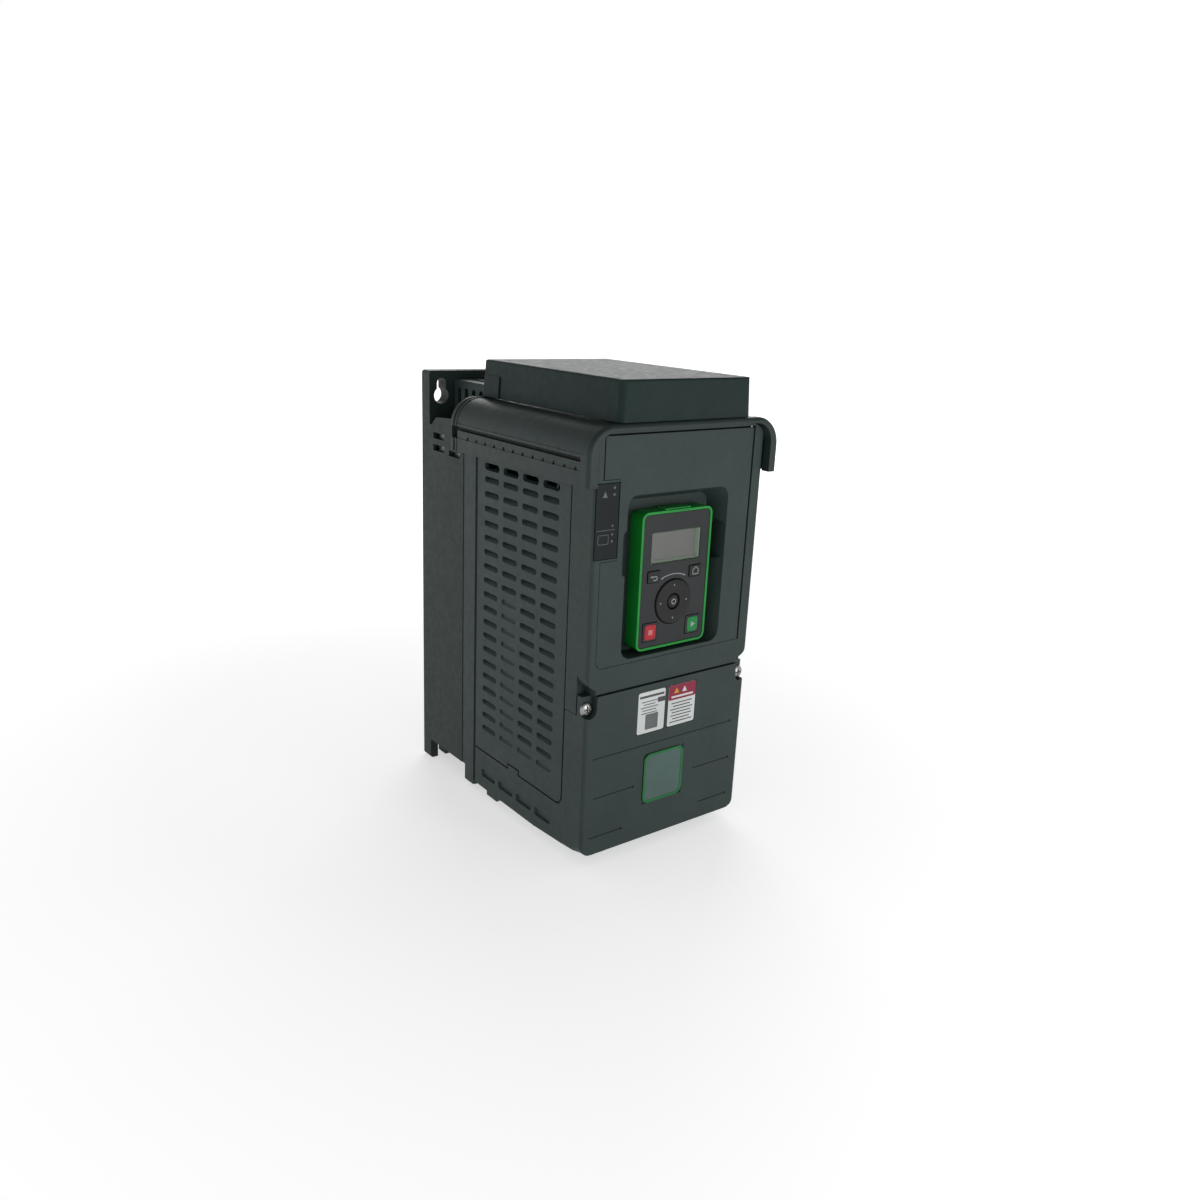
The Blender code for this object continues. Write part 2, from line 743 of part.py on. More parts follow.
def cable_grommets(root):
    """Rubber rings that grip the edge of each cable hole, with their lower lip sunk in the plate."""
    face = SKIRT_BOTTOM + 0.05
    under = SKIRT_BOTTOM + COUNTERBORE[1] - GAP
    above = SKIRT_BOTTOM + GLAND_THICKNESS + GAP
    waist = CABLE_HOLE - GAP
    chamfer = 0.6
    profile = (
        (GROMMET_BORE, face), (GROMMET_LIP - chamfer, face), (GROMMET_LIP, face + chamfer),
        (GROMMET_LIP, under), (waist, under), (waist, above), (GROMMET_LIP, above),
        (GROMMET_LIP - chamfer, above + 2 * chamfer), (GROMMET_BORE, above + 2 * chamfer),
    )
    for i, x in enumerate(CABLE_X):
        ring = turned(f"cable_grommet_{i + 1}", root, "Z", (x, CABLE_Y), profile, 20)
        finish(ring, material("rubber", BLACK, 0.85))


def hood_outline(half, top, radius):
    """Inverted U as (x, z), from the right wing's foot over the top to the left wing's foot."""
    outline = [(half, HOOD_BOTTOM)]
    outline += arc((half - radius, top - radius), radius, 0.0, 90.0, 10)
    outline += arc((-half + radius, top - radius), radius, 90.0, 180.0, 10)
    outline += [(-half, HOOD_BOTTOM)]
    return outline


def reaching_down(outline):
    """The same outline with its open end carried below the wings' feet."""
    right = (outline[0][0], HOOD_BOTTOM - OVER)
    left = (outline[-1][0], HOOD_BOTTOM - OVER)
    return [right] + outline[1:-1] + [left]


def hood(root):
    """Roof with two hanging wings, a thick front rim and an air grille under the top cover."""
    shell = prism("hood", root, "Y", hood_outline(HOOD_HALF, HOOD_TOP, HOOD_ARC), HOOD_Y[0], HOOD_Y[1])
    skin_half = HOOD_HALF - HOOD_SKIN
    behind_rim = prism(
        "hood_hollow", root, "Y",
        reaching_down(hood_outline(skin_half, HOOD_TOP - HOOD_SKIN, HOOD_ARC - HOOD_SKIN)),
        HOOD_Y[0] + RIM_DEPTH, HOOD_Y[1] + OVER,
    )
    through_rim = prism(
        "rim_opening", root, "Y",
        reaching_down(hood_outline(RIM_INNER_HALF, RIM_INNER_TOP, RIM_ARC)),
        HOOD_Y[0] - OVER, HOOD_Y[0] + RIM_DEPTH + OVER,
    )
    cut(shell, behind_rim, through_rim)
    back_wall = block(
        "hood_back", root,
        (-60.0, HOOD_Y[1] - 2.0, DUCT_TOP + 3.0), (60.0, HOOD_Y[1], HOOD_TOP - 0.5),
    )
    fuse(shell, back_wall)
    recesses = []
    for side in (-1, 1):
        xs = sorted((side * (HOOD_HALF - RECESS_DEPTH), side * (HOOD_HALF + OVER)))
        recesses.append(((xs[0], RECESS_Y[0], RECESS_Z[0]), (xs[1], RECESS_Y[1], RECESS_Z[1])))
    half_x, half_y = AIR_SLOT_HALF
    grille = []
    for i in range(AIR_SLOTS):
        y = HOOD_Y[1] - 16.0 - AIR_SLOT_PITCH * i
        grille.append(((-half_x, y - half_y, HOOD_TOP - 5.0), (half_x, y + half_y, HOOD_TOP + OVER)))
    cut(shell, blocks("wing_recesses", root, recesses), blocks("air_grille", root, grille))
    return finish(shell, moulded_grey())


def top_cover(root, axis_empty):
    """Clip-on drip cover over the hood's grille, open below and slotted at the back."""
    low = (-TOP_HALF, TOP_Y[0], TOP_Z[0])
    high = (TOP_HALF, TOP_Y[1], TOP_Z[1])
    cover = block("top_cover", root, low, high)
    hollow = block(
        "top_hollow", root,
        (low[0] + WALL, low[1] + WALL, low[2] - OVER), (high[0] - WALL, high[1] - WALL, high[2] - WALL),
    )
    count, first, pitch, half = EXHAUST_SLOTS
    slots = []
    for i in range(count):
        x = first + pitch * i
        slots.append((
            (x - half, TOP_Y[1] - WALL - OVER, EXHAUST_Z[0]), (x + half, TOP_Y[1] + OVER, EXHAUST_Z[1]),
        ))
    cut(cover, hollow, blocks("exhaust_slots", root, slots))
    for side in (-1, 1):
        xs = sorted((side * (TOP_HALF - OVER), side * (TOP_HALF + CLIP_PROUD)))
        clip = block(
            f"clip_{side}", root,
            (xs[0], CLIP_Y, TOP_Z[0]), (xs[1], TOP_Y[1] - 0.5, CLIP_TOP),
        )
        fuse(cover, clip)
    return finish(settle(cover), moulded_grey(), axis_empty)


def pocket_outline():
    """Corner pocket of a cover screw as (x, z), with the front shell's round corner above it."""
    start = math.degrees(math.acos((POCKET_X - BODY_HALF + POCKET_ROUND) / POCKET_ROUND))
    centre = (BODY_HALF - POCKET_ROUND, POCKET_Z[1])
    outline = [(BODY_HALF + 2 * OVER, POCKET_Z[1]), (BODY_HALF + 2 * OVER, POCKET_Z[0])]
    outline += [(POCKET_X, POCKET_Z[0])]
    outline += arc(centre, POCKET_ROUND, -start, 0.0, 6)
    return outline


def edge_outline(half, front, back, radius):
    """Plan of a front piece as (x, y), with round vertical corners at the front."""
    outline = [(half, back), (-half, back)]
    outline += arc((-half + radius, front + radius), radius, 180.0, 270.0, 4)
    outline += arc((half - radius, front + radius), radius, 270.0, 360.0, 4)
    return outline


def hinge_circle(radius, segments):
    """Circle around the door's hinge axis, seen from above."""
    return circle((DOOR_X[1], FRONT_Y + HINGE_RADIUS), radius, segments)


def shoulder_outline():
    """Corner of metal outside the front shell's round top right shoulder, as (x, z)."""
    beyond = BODY_HALF + 2 * OVER
    centre = (BODY_HALF - SHELL_ARC, SHELL_TOP - SHELL_ARC)
    outline = [(beyond, centre[1]), (beyond, SHELL_TOP + OVER), (centre[0], SHELL_TOP + OVER)]
    return outline + arc(centre, SHELL_ARC, 90.0, 0.0, 8)


def add_screw_legs(shell, root):
    """Two legs under the front shell that take the cover screws."""
    for side in (-1, 1):
        xs = sorted((side * LEG_INNER, side * BODY_HALF))
        leg = block(
            f"screw_leg_{side}", root,
            (xs[0], POCKET_BACK + 0.1, POCKET_Z[0] + 0.4), (xs[1], TRIM_Y, SHELL_BOTTOM + WALL + OVER),
        )
        fuse(shell, leg)


def cut_corners(shell, root):
    """Round shoulders at the top, and the pockets of the cover screws below."""
    front = FRONT_Y - OVER
    for side in (-1, 1):
        shoulder = sided(shoulder_outline(), side)
        cut(shell, prism(f"shoulder_{side}", root, "Y", shoulder, front, TRIM_Y + OVER))
        pocket = sided(pocket_outline(), side)
        cut(shell, prism(f"shell_pocket_{side}", root, "Y", pocket, front, POCKET_BACK))


def add_hinge_lugs(shell, root):
    """Lugs above and below the door's barrel, bored for the hinge pins."""
    lugs = []
    spans = ((DOOR_Z[0] - HINGE_LUG, DOOR_Z[0] - GAP), (DOOR_Z[1] + GAP, SHELL_TOP))
    for low, high in spans:
        lugs.append(prism(f"hinge_lug_{low:.0f}", root, "Z", hinge_circle(HINGE_RADIUS - 0.1, 16), low, high))
    fuse(shell, *lugs)
    bore = hinge_circle(HINGE_PIN + 0.05, 12)
    low = DOOR_Z[0] - HINGE_LUG + 0.6
    cut(shell, prism("hinge_bore", root, "Z", bore, low, SHELL_TOP + OVER))


def front_shell(root):
    """Front frame around the door, with a tongue for the status window and two screw legs."""
    inner = BODY_HALF - WALL
    front = FRONT_Y - OVER
    shell = prism(
        "front_shell", root, "Z",
        edge_outline(BODY_HALF, FRONT_Y, TRIM_Y, EDGE_ROUND), SHELL_BOTTOM, SHELL_TOP,
    )
    add_screw_legs(shell, root)
    cut_corners(shell, root)
    cut(shell, prism(
        "shell_hollow", root, "Y",
        rounded(-inner, inner, SHELL_BOTTOM + WALL, SHELL_TOP - 1.2, SHELL_ARC - 1.0, 6),
        FRONT_Y + WALL, TRIM_Y + OVER,
    ))
    cut(shell, prism("door_opening", root, "Y", door_opening_outline(), front, FRONT_Y + 2 * WALL))
    left, right, bottom, top = WINDOW
    cut(shell, block(
        "window_seat", root,
        (left - GAP, front, bottom - GAP), (right + OVER, FRONT_Y + WINDOW_DEPTH, top + GAP),
    ))
    x, z = COVER_SCREW
    for side in (-1, 1):
        hole = circle((side * x, z), SCREW_HOLE, 16)
        cut(shell, prism(f"leg_hole_{side}", root, "Y", hole, POCKET_BACK - OVER, TRIM_Y + OVER))
    add_hinge_lugs(shell, root)
    return finish(shell, moulded_grey())


def door_opening_outline():
    """Hole for the door as (x, z), leaving the tongue that carries the status window."""
    left = DOOR_X[0] - GAP
    right = DOOR_X[1] + HINGE_RADIUS + GAP
    bottom = DOOR_Z[0] - GAP
    top = DOOR_Z[1] + GAP
    return [
        (left, bottom), (right, bottom), (right, top), (left, top),
        (left, TONGUE[3]), (TONGUE[1], TONGUE[3]), (TONGUE[1], TONGUE[2]), (left, TONGUE[2]),
    ]


def status_window(root):
    left, right, bottom, top = WINDOW
    pane = block(
        "status_window", root,
        (left, FRONT_Y - 0.1, bottom), (right, FRONT_Y + WINDOW_DEPTH - GAP, top),
    )
    return finish(pane, material("window_black", BLACK, 0.15))


def hinge_pins(root):
    spans = {
        "lower_hinge_pin": (DOOR_Z[0] - 3.0, DOOR_Z[0] + HINGE_PIN_REACH - 0.5),
        "upper_hinge_pin": (DOOR_Z[1] - HINGE_PIN_REACH + 0.5, SHELL_TOP - 0.2),
    }
    for name, (low, high) in spans.items():
        finish(prism(name, root, "Z", hinge_circle(HINGE_PIN - 0.25, 12), low, high), bright_steel())


def door_outline():
    """Door as (x, z): notch for the status window's tongue, small chamfer at the bottom left."""
    left, right = DOOR_X
    bottom, top = DOOR_Z
    notch_x, notch_low, notch_high = DOOR_NOTCH
    radius = 3.0
    outline = [(right, bottom), (right, top)]
    outline += arc((left + radius, top - radius), radius, 90.0, 180.0, 4)
    outline += [(left, notch_high), (notch_x, notch_high), (notch_x, notch_low), (left, notch_low)]
    outline += [(left, bottom + 3.8), (left + 2.6, bottom)]
    return outline


def recess_outline(slope, grow=0.0):
    """Keypad recess as (x, z): its sides and top lean in by the slope, and its bottom stays upright."""
    left, right, bottom, top = RECESS
    return rounded(
        left + slope - grow, right - slope + grow, bottom - grow, top - slope + grow, RECESS_ROUND,
    )


def front_door(root, hinge):
    """Door with a hinge barrel on its right edge and a deep recess for the keypad."""
    front = FRONT_Y - OVER
    door = prism("front_door", root, "Y", door_outline(), FRONT_Y, FRONT_Y + DOOR_THICKNESS)
    barrel = prism("door_barrel", root, "Z", hinge_circle(HINGE_RADIUS, 20), DOOR_Z[0], DOOR_Z[1])
    tub = prism(
        "recess_tub", root, "Y",
        recess_outline(0.0, TUB_WALL), FRONT_Y + OVER, RECESS_FLOOR + TUB_WALL,
    )
    fuse(door, barrel, tub)
    recess = stepped("keypad_recess", root, "Y", (
        (front, recess_outline(0.0)),
        (FRONT_Y, recess_outline(0.0)),
        (RECESS_FLOOR, recess_outline(RECESS_SLOPE)),
    ))
    scoops = rounded(RECESS[0], RECESS[1], FINGER[0], FINGER[1], FINGER_ROUND)
    fingers = prism("finger_scoops", root, "Y", scoops, front, RECESS_FLOOR)
    half, low, high, _ = PLUG
    plug_hole = block(
        "plug_hole", root,
        (-half - OVER, RECESS_FLOOR - OVER, low - OVER),
        (half + OVER, RECESS_FLOOR + TUB_WALL + OVER, high + OVER),
    )
    cut(door, recess, fingers, plug_hole)
    spans = ((DOOR_Z[0] - OVER, DOOR_Z[0] + HINGE_PIN_REACH), (DOOR_Z[1] - HINGE_PIN_REACH, DOOR_Z[1] + OVER))
    for low, high in spans:
        bore = hinge_circle(HINGE_PIN + 0.05, 12)
        cut(door, prism(f"barrel_bore_{low:.0f}", root, "Z", bore, low, high))
    return finish(settle(door), moulded_grey(), hinge)


def keypad_socket(root, hinge):
    """Connector block on the back of the door's recess that takes the keypad's plug."""
    low, high = SOCKET
    body = block("keypad_socket", root, low, high)
    half, plug_low, plug_high, plug_back = PLUG
    mouth = block(
        "socket_mouth", root,
        (-half - 0.6, low[1] - OVER, plug_low - 0.6), (half + 0.6, plug_back + 1.5, plug_high + 0.6),
    )
    cut(body, mouth)
    return finish(settle(body), black_plastic(), hinge)


def keypad_outline(inset):
    return rounded(
        -KEYPAD_HALF + inset, KEYPAD_HALF - inset, KEYPAD_Z[0] + inset, KEYPAD_Z[1] - inset,
        KEYPAD_ROUND - inset,
    )


def face_openings():
    """Outlines of the face plate's openings: the display, the ring and the four keys."""
    half, low, high = LCD
    outlines = [rounded(-half, half, low, high, 0.8, 2), circle((0.0, RING_Z), RING_RADIUS + 0.4, 32)]
    for x, z, half_x, half_z in (SMALL_KEY, LARGE_KEY):
        for side in (-1, 1):
            left = side * x - half_x - GAP
            right = side * x + half_x + GAP
            outlines.append(rounded(left, right, z - half_z - GAP, z + half_z + GAP, 1.2, 3))
    return outlines


def keypad_case(root, slide):
    """Green frame, dark back with its plug, and the dark face plate with its openings."""
    front = KEYPAD_FRONT - OVER
    frame = prism("keypad_frame", root, "Y", keypad_outline(0.0), KEYPAD_FRONT, KEYPAD_BACK[1])
    cut(frame, prism("frame_hole", root, "Y", keypad_outline(KEYPAD_RIM), front, KEYPAD_BACK[1] + OVER))
    finish(settle(frame), material("keypad_green", GREEN, 0.40), slide)

    back = prism("keypad_back", root, "Y", keypad_outline(KEYPAD_RIM + GAP), *KEYPAD_BACK)
    half, low, high, plug_back = PLUG
    fuse(back, block("keypad_plug", root, (-half, KEYPAD_BACK[1] - 0.5, low), (half, plug_back, high)))
    finish(settle(back), black_plastic(), slide)

    face = prism("keypad_face", root, "Y", keypad_outline(KEYPAD_RIM + GAP), *KEYPAD_FACE)
    for i, outline in enumerate(face_openings()):
        cut(face, prism(f"face_hole_{i}", root, "Y", outline, front, KEYPAD_FACE[1] + OVER))
    finish(settle(face), black_plastic(), slide)


def keypad_inside(root, slide):
    """Display module, its clear window and the circuit board behind the keys."""
    half, low, high = LCD
    pane = block(
        "lcd_window", root,
        (-half + GAP, LCD_PANE[0], low + GAP), (half - GAP, LCD_PANE[1], high - GAP),
    )
    finish(pane, material("lcd_glass", GLASS_GREY, 0.10), slide)
    rim = 1.5
    module = block(
        "lcd_module", root,
        (-half - rim, LCD_MODULE[0], low - rim), (half + rim, LCD_MODULE[1], high + rim),
    )
    finish(module, material("lcd_backing", GLASS_GREY, 0.50), slide)
    half, front, back = KEYPAD_BOARD
    board = block(
        "keypad_board", root,
        (-half, front, KEYPAD_Z[0] + 4.0), (half, back, KEYPAD_Z[1] - 4.0),
    )
    finish(board, board_green(), slide)


def key(name, root, slide, x, z, half_x, half_z, skin):
    """A key cap with a flange behind the face plate that keeps it captive."""
    axis_empty = empty(f"{name}_axis", (x, KEY_BACK, z), slide.parent)
    axis_empty.parent = slide
    axis_empty.location = axis_empty.location - place_in_drive(slide)
    cap = rounded(x - half_x, x + half_x, z - half_z, z + half_z, KEY_LIP, 3)
    half_x += KEY_LIP
    half_z += KEY_LIP
    flange = rounded(x - half_x, x + half_x, z - half_z, z + half_z, KEY_LIP, 3)
    body = stepped(name, root, "Y", (
        (KEY_FRONT, cap), (KEY_FLANGE[0], cap), (KEY_FLANGE[0], flange), (KEY_FLANGE[1], flange),
        (KEY_FLANGE[1], cap), (KEY_BACK, cap),
    ))
    return finish(body, skin, axis_empty)


def keypad_keys(root, slide):
    x, z, half_x, half_z = SMALL_KEY
    key("esc_key", root, slide, -x, z, half_x, half_z, black_plastic())
    key("home_key", root, slide, x, z, half_x, half_z, black_plastic())
    x, z, half_x, half_z = LARGE_KEY
    key("stop_key", root, slide, -x, z, half_x, half_z, material("key_red", RED, 0.45))
    key("run_key", root, slide, x, z, half_x, half_z, material("key_green", GREEN, 0.45))


def navigation(root, slide):
    """Rocking ring on a gimbal, around the round OK key."""
    pivot = (0.0, GIMBAL_Y, RING_Z)
    gimbal_axis = empty("gimbal_axis", pivot, slide)
    inner, outer, front, back = GIMBAL
    gimbal = turned(
        "nav_gimbal", root, "Y", (0.0, RING_Z),
        ((inner, front), (outer, front), (outer, back), (inner, back)), 20,
    )
    finish(gimbal, black_plastic(), gimbal_axis)
    ring_axis = empty("ring_axis", pivot, gimbal_axis)
    ring = turned(
        "nav_ring", root, "Y", (0.0, RING_Z),
        ((RING_BORE, -197.7), (RING_BORE + 1.0, -198.1), (RING_RADIUS - 0.7, -198.3),
         (RING_RADIUS, -197.8), (RING_RADIUS, -196.0), (RING_BORE, -196.0)), 32,
    )
    finish(ring, black_plastic(), ring_axis)
    ok_axis = empty("ok_axis", (0.0, KEY_BACK, RING_Z), slide)
    sections = []
    for y, radius in ((-198.1, 3.6), (-197.6, OK_RADIUS), (-193.4, OK_RADIUS), (-193.4, 5.6), (-192.7, 5.6)):
        sections.append((y, circle((0.0, RING_Z), radius, 16)))
    finish(stepped("ok_key", root, "Y", sections), black_plastic(), ok_axis)


def cover_corner_outline():
    """What the round bottom right corner of the terminal cover leaves off, as (x, z)."""
    beyond = BODY_HALF + OVER
    centre = (BODY_HALF - COVER_BOTTOM_ROUND, COVER_BOTTOM_ROUND)
    outline = [(centre[0], -OVER), (beyond, -OVER), (beyond, centre[1])]
    return outline + arc(centre, COVER_BOTTOM_ROUND, 0.0, -90.0, 6)


def clear_for_screws(cover, root):
    """Cut away the cover's top corners for the screw legs, the screw heads and the round bottom corners."""
    front = FRONT_Y - OVER
    back = COVER_BACK + OVER
    x, z = COVER_SCREW
    for side in (-1, 1):
        xs = sorted((side * (LEG_INNER - 0.5), side * (BODY_HALF + OVER)))
        clearance = block(
            f"leg_clearance_{side}", root,
            (xs[0], front, POCKET_Z[0]), (xs[1], back, COVER_TOP + OVER),
        )
        head = circle((side * x, z), SCREW_HEAD + 1.3, 24)
        notch = prism(f"screw_notch_{side}", root, "Y", head, front, NOTCH_FLOOR)
        corner = sided(cover_corner_outline(), side)
        cut(cover, clearance, notch, prism(f"cover_corner_{side}", root, "Y", corner, front, back))


def add_screw_lugs(cover, root):
    """Lugs behind the screw heads, each joined to the cover's face by a web."""
    x, z = COVER_SCREW
    for side in (-1, 1):
        xs = sorted((side * LUG_X[0], side * LUG_X[2]))
        lug = block(f"lug_{side}", root, (xs[0], LUG_Y[0], LUG_Z[0]), (xs[1], LUG_Y[1], LUG_Z[1]))
        xs = sorted((side * LUG_X[0], side * LUG_X[1]))
        web = block(f"web_{side}", root, (xs[0], FRONT_Y + OVER, LUG_Z[0]), (xs[1], LUG_Y[1], LUG_Z[1]))
        fuse(cover, lug, web)
        hole = circle((side * x, z), SCREW_HOLE, 16)
        cut(cover, prism(f"lug_hole_{side}", root, "Y", hole, NOTCH_FLOOR, LUG_Y[1] + OVER))


def terminal_cover(root, slide):
    """Lift-off lower cover with label recesses and two lugs for its captive screws."""
    inner = BODY_HALF - WALL
    cover = prism(
        "terminal_cover", root, "Z",
        edge_outline(BODY_HALF, FRONT_Y, COVER_BACK, EDGE_ROUND), 0.0, COVER_TOP,
    )
    hollow = prism(
        "cover_hollow", root, "Y",
        rounded(-inner, inner, WALL, COVER_TOP + 4 * COVER_BOTTOM_ROUND, COVER_BOTTOM_ROUND - WALL),
        FRONT_Y + WALL, COVER_BACK + OVER,
    )
    cut(cover, hollow)
    clear_for_screws(cover, root)
    add_screw_lugs(cover, root)
    recesses = []
    for left, right, bottom, top in (RATING_LABEL, CAUTION_LABEL, BADGE):
        recesses.append((
            (left - GAP, FRONT_Y - OVER, bottom - GAP), (right + GAP, FRONT_Y + LABEL_DEPTH, top + GAP),
        ))
    cut(cover, blocks("label_recesses", root, recesses))
    return finish(settle(cover), moulded_grey(), slide)


def cover_trim(root, slide):
    """Two blank labels and a blank badge in the cover's shallow recesses."""
    floor = FRONT_Y + LABEL_DEPTH - GAP
    paper = material("label_white", WHITE, 0.50)
    for name, edges in (("rating_label", RATING_LABEL), ("caution_label", CAUTION_LABEL)):
        outline = rounded(*edges, 1.2, 2)
        finish(prism(name, root, "Y", outline, floor - LABEL_THICKNESS, floor), paper, slide)
    badge = prism("badge", root, "Y", rounded(*BADGE, 4.0), FRONT_Y - BADGE_PROUD, floor)
    finish(badge, material("badge_grey", WHITE, 0.35), slide)


def cover_screws(root, slide):
    """Captive pan-head screws with a cross recess."""
    x, z = COVER_SCREW
    steps = (
        (SCREW_FRONT, SCREW_HEAD - 1.4), (SCREW_FRONT + 0.5, SCREW_HEAD - 0.4),
        (SCREW_FRONT + 1.2, SCREW_HEAD), (LUG_Y[0] - GAP, SCREW_HEAD), (LUG_Y[0] - GAP, SCREW_SHAFT),
        (SCREW_TIP - 1.0, SCREW_SHAFT), (SCREW_TIP, SCREW_SHAFT - 0.8),
    )
    long_half, short_half, depth = SCREW_CROSS
    for side, name in ((-1, "left"), (1, "right")):
        centre = (side * x, z)
        axis_empty = empty(f"screw_axis_{name}", (side * x, LUG_Y[0], z), slide)
        sections = [(y, circle(centre, radius, 16)) for y, radius in steps]
        body = stepped(f"cover_screw_{name}", root, "Y", sections)
        for half_x, half_z in ((long_half, short_half), (short_half, long_half)):
            arm = block(
                f"cross_{name}_{half_x:.0f}", root,
                (centre[0] - half_x, SCREW_FRONT - OVER, z - half_z),
                (centre[0] + half_x, SCREW_FRONT + depth, z + half_z),
            )
            cut(body, arm)
        finish(settle(body), bright_steel(), axis_empty)


def power_stage(root):
    """Power board with the modules on the heat sink, the choke, the capacitors and the terminals."""
    wall_box("power_board", root, board_green(), *POWER_BOARD)
    wall_box("power_module", root, black_plastic(), *POWER_MODULE)
    wall_box("rectifier_module", root, black_plastic(), *RECTIFIER)
    low, high = CHOKE
    inset = CHOKE_WINDOW
    choke = block("choke", root, low, high)
    cut(choke, blocks("choke_windows", root, [
        ((low[0] - OVER, low[1] + inset, low[2] + inset),
         (low[0] + inset, high[1] - inset, high[2] - inset)),
        ((high[0] - inset, low[1] + inset, low[2] + inset),
         (high[0] + OVER, high[1] - inset, high[2] - inset)),
    ]))
    finish(choke, material("copper_choke", COPPER, 0.35, 1.0))
    for i, x in enumerate(CAPACITOR_X):
        front = POWER_BOARD[0][1] - GAP
        can = stepped(f"bus_capacitor_{i + 1}", root, "Y", (
            (front, circle((x, CAPACITOR_Z), CAPACITOR_RADIUS, 20)),
            (front - CAPACITOR_LENGTH + 1.0, circle((x, CAPACITOR_Z), CAPACITOR_RADIUS, 20)),
            (front - CAPACITOR_LENGTH, circle((x, CAPACITOR_Z), CAPACITOR_RADIUS - 1.0, 20)),
        ))
        finish(can, material("can_sleeve", (0.03, 0.05, 0.12, 1.0), 0.35))


def power_terminals(root):
    """Seven-way screw terminal block: wire mouths below, screw wells in front."""
    low, high = POWER_TERMINALS
    body = block("power_terminal_block", root, low, high)
    mouths = []
    for i in range(TERMINAL_WAYS):
        x = (i - (TERMINAL_WAYS - 1) / 2) * TERMINAL_PITCH
        mouths.append(((x - 3.5, low[1] + 3.0, low[2] - OVER), (x + 3.5, low[1] + 10.0, low[2] + 12.0)))
        mouths.append(((x - 2.8, low[1] - OVER, low[2] + 5.0), (x + 2.8, low[1] + 2.0, low[2] + 11.0)))
    cut(body, blocks("terminal_mouths", root, mouths))
    finish(body, material("terminal_grey", (0.12, 0.13, 0.13, 1.0), 0.50))
    bar = block("earth_bar", root, *EARTH_BAR)
    finish(bar, bright_steel())


def control_stage(root):
    """Control board in front of a steel shield, with its terminals, relays and network socket."""
    wall_box("shield_plate", root, material("zinc_steel", STEEL, 0.45, 1.0), *SHIELD_PLATE)
    wall_box("control_board", root, board_green(), *CONTROL_BOARD)
    for name, (low, high), ways in (
        ("control_terminal_block", CONTROL_TERMINALS, 12), ("relay_terminal_block", RELAY_TERMINALS, 3),
    ):
        strip = block(name, root, low, high)
        pitch = (high[0] - low[0]) / ways
        mouths = []
        for i in range(ways):
            x = low[0] + pitch * (i + 0.5)
            mouths.append(((x - 1.3, low[1] - OVER, low[2] + 2.5), (x + 1.3, low[1] + 5.0, low[2] + 5.5)))
        cut(strip, blocks(name + "_mouths", root, mouths))
        finish(strip, material("connector_green", (0.02, 0.18, 0.08, 1.0), 0.45))
    for i, x in enumerate(RELAY_X):
        low, high = RELAY
        relay = block(f"output_relay_{i + 1}", root, low, high)
        for vertex in relay.data.vertices:
            vertex.co.x += x * MM
        finish(relay, black_plastic())
    low, high = NETWORK_SOCKET
    side, rest = SOCKET_WALL
    socket = block("network_socket", root, low, high)
    cut(socket, block(
        "network_mouth", root,
        (low[0] + side, low[1] - OVER, low[2] + rest), (high[0] - side, high[1] - rest, high[2] - rest),
    ))
    finish(socket, bright_steel())


def stirring_fan(root):
    """Small fan that moves the air between the boards."""
    x, y = STIR_FAN_CENTRE
    low, high = STIR_FAN_Z
    half = STIR_FAN_HALF
    frame = block("inner_fan_frame", root, (x - half, y - half, low), (x + half, y + half, high))
    cut(frame, prism("inner_fan_bay", root, "Z", circle((x, y), half - 1.5, 28), low - OVER, high + OVER))
    strut = block("inner_strut", root, (x - 2.0, y - half + 1.0, low), (x + 2.0, y + half - 1.0, low + 1.6))
    fuse(frame, strut)
    finish(frame, black_plastic())
    axis_empty = empty("inner_fan_axis", (x, y, high), root)
    rotor(
        "inner_fan_rotor", root, axis_empty, (x, y), STIR_FAN_HUB, half - 2.5,
        low + 2.0, high - 0.8, black_plastic(),
    )


def build_drive():
    clear_scene()
    root = empty("drive", (0.0, 0.0, -WALL_FACE_HEIGHT))
    hinge = empty("door_hinge_axis", (DOOR_X[1], FRONT_Y + HINGE_RADIUS, DOOR_Z[0]), root)
    keypad_slide = empty("keypad_slide_axis", (0.0, KEYPAD_BACK[1], RING_Z), hinge)
    cover_slide = empty("cover_slide_axis", (0.0, COVER_BACK, 0.0), root)
    lid_slide = empty("top_cover_slide_axis", (0.0, TOP_Y[1], TOP_Z[0]), root)
    rear_housing(root)
    heat_sink(root)
    fan_cartridge(root)
    cooling_fans(root)
    air_outlet(root)
    mid_frame(root)
    vent_panels(root)
    lower_housing(root)
    gland_plate(root)
    cable_grommets(root)
    hood(root)
    top_cover(root, lid_slide)
    front_shell(root)
    status_window(root)
    hinge_pins(root)
    front_door(root, hinge)
    keypad_socket(root, hinge)
    keypad_case(root, keypad_slide)
    keypad_inside(root, keypad_slide)
    keypad_keys(root, keypad_slide)
    navigation(root, keypad_slide)
    terminal_cover(root, cover_slide)
    cover_trim(root, cover_slide)
    cover_screws(root, cover_slide)
    power_stage(root)
    power_terminals(root)
    control_stage(root)
    stirring_fan(root)


build_drive()
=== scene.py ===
"""Looks of the wall-mounted variable frequency drive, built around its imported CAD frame.

X runs to the right seen from the front, Y into the wall and Z up. Sizes are in millimetres, with heights
from the terminal cover's bottom edge, and become metres when a mesh is made.
"""

import json
import math

import bmesh
import bpy
from mathutils import Matrix, Vector


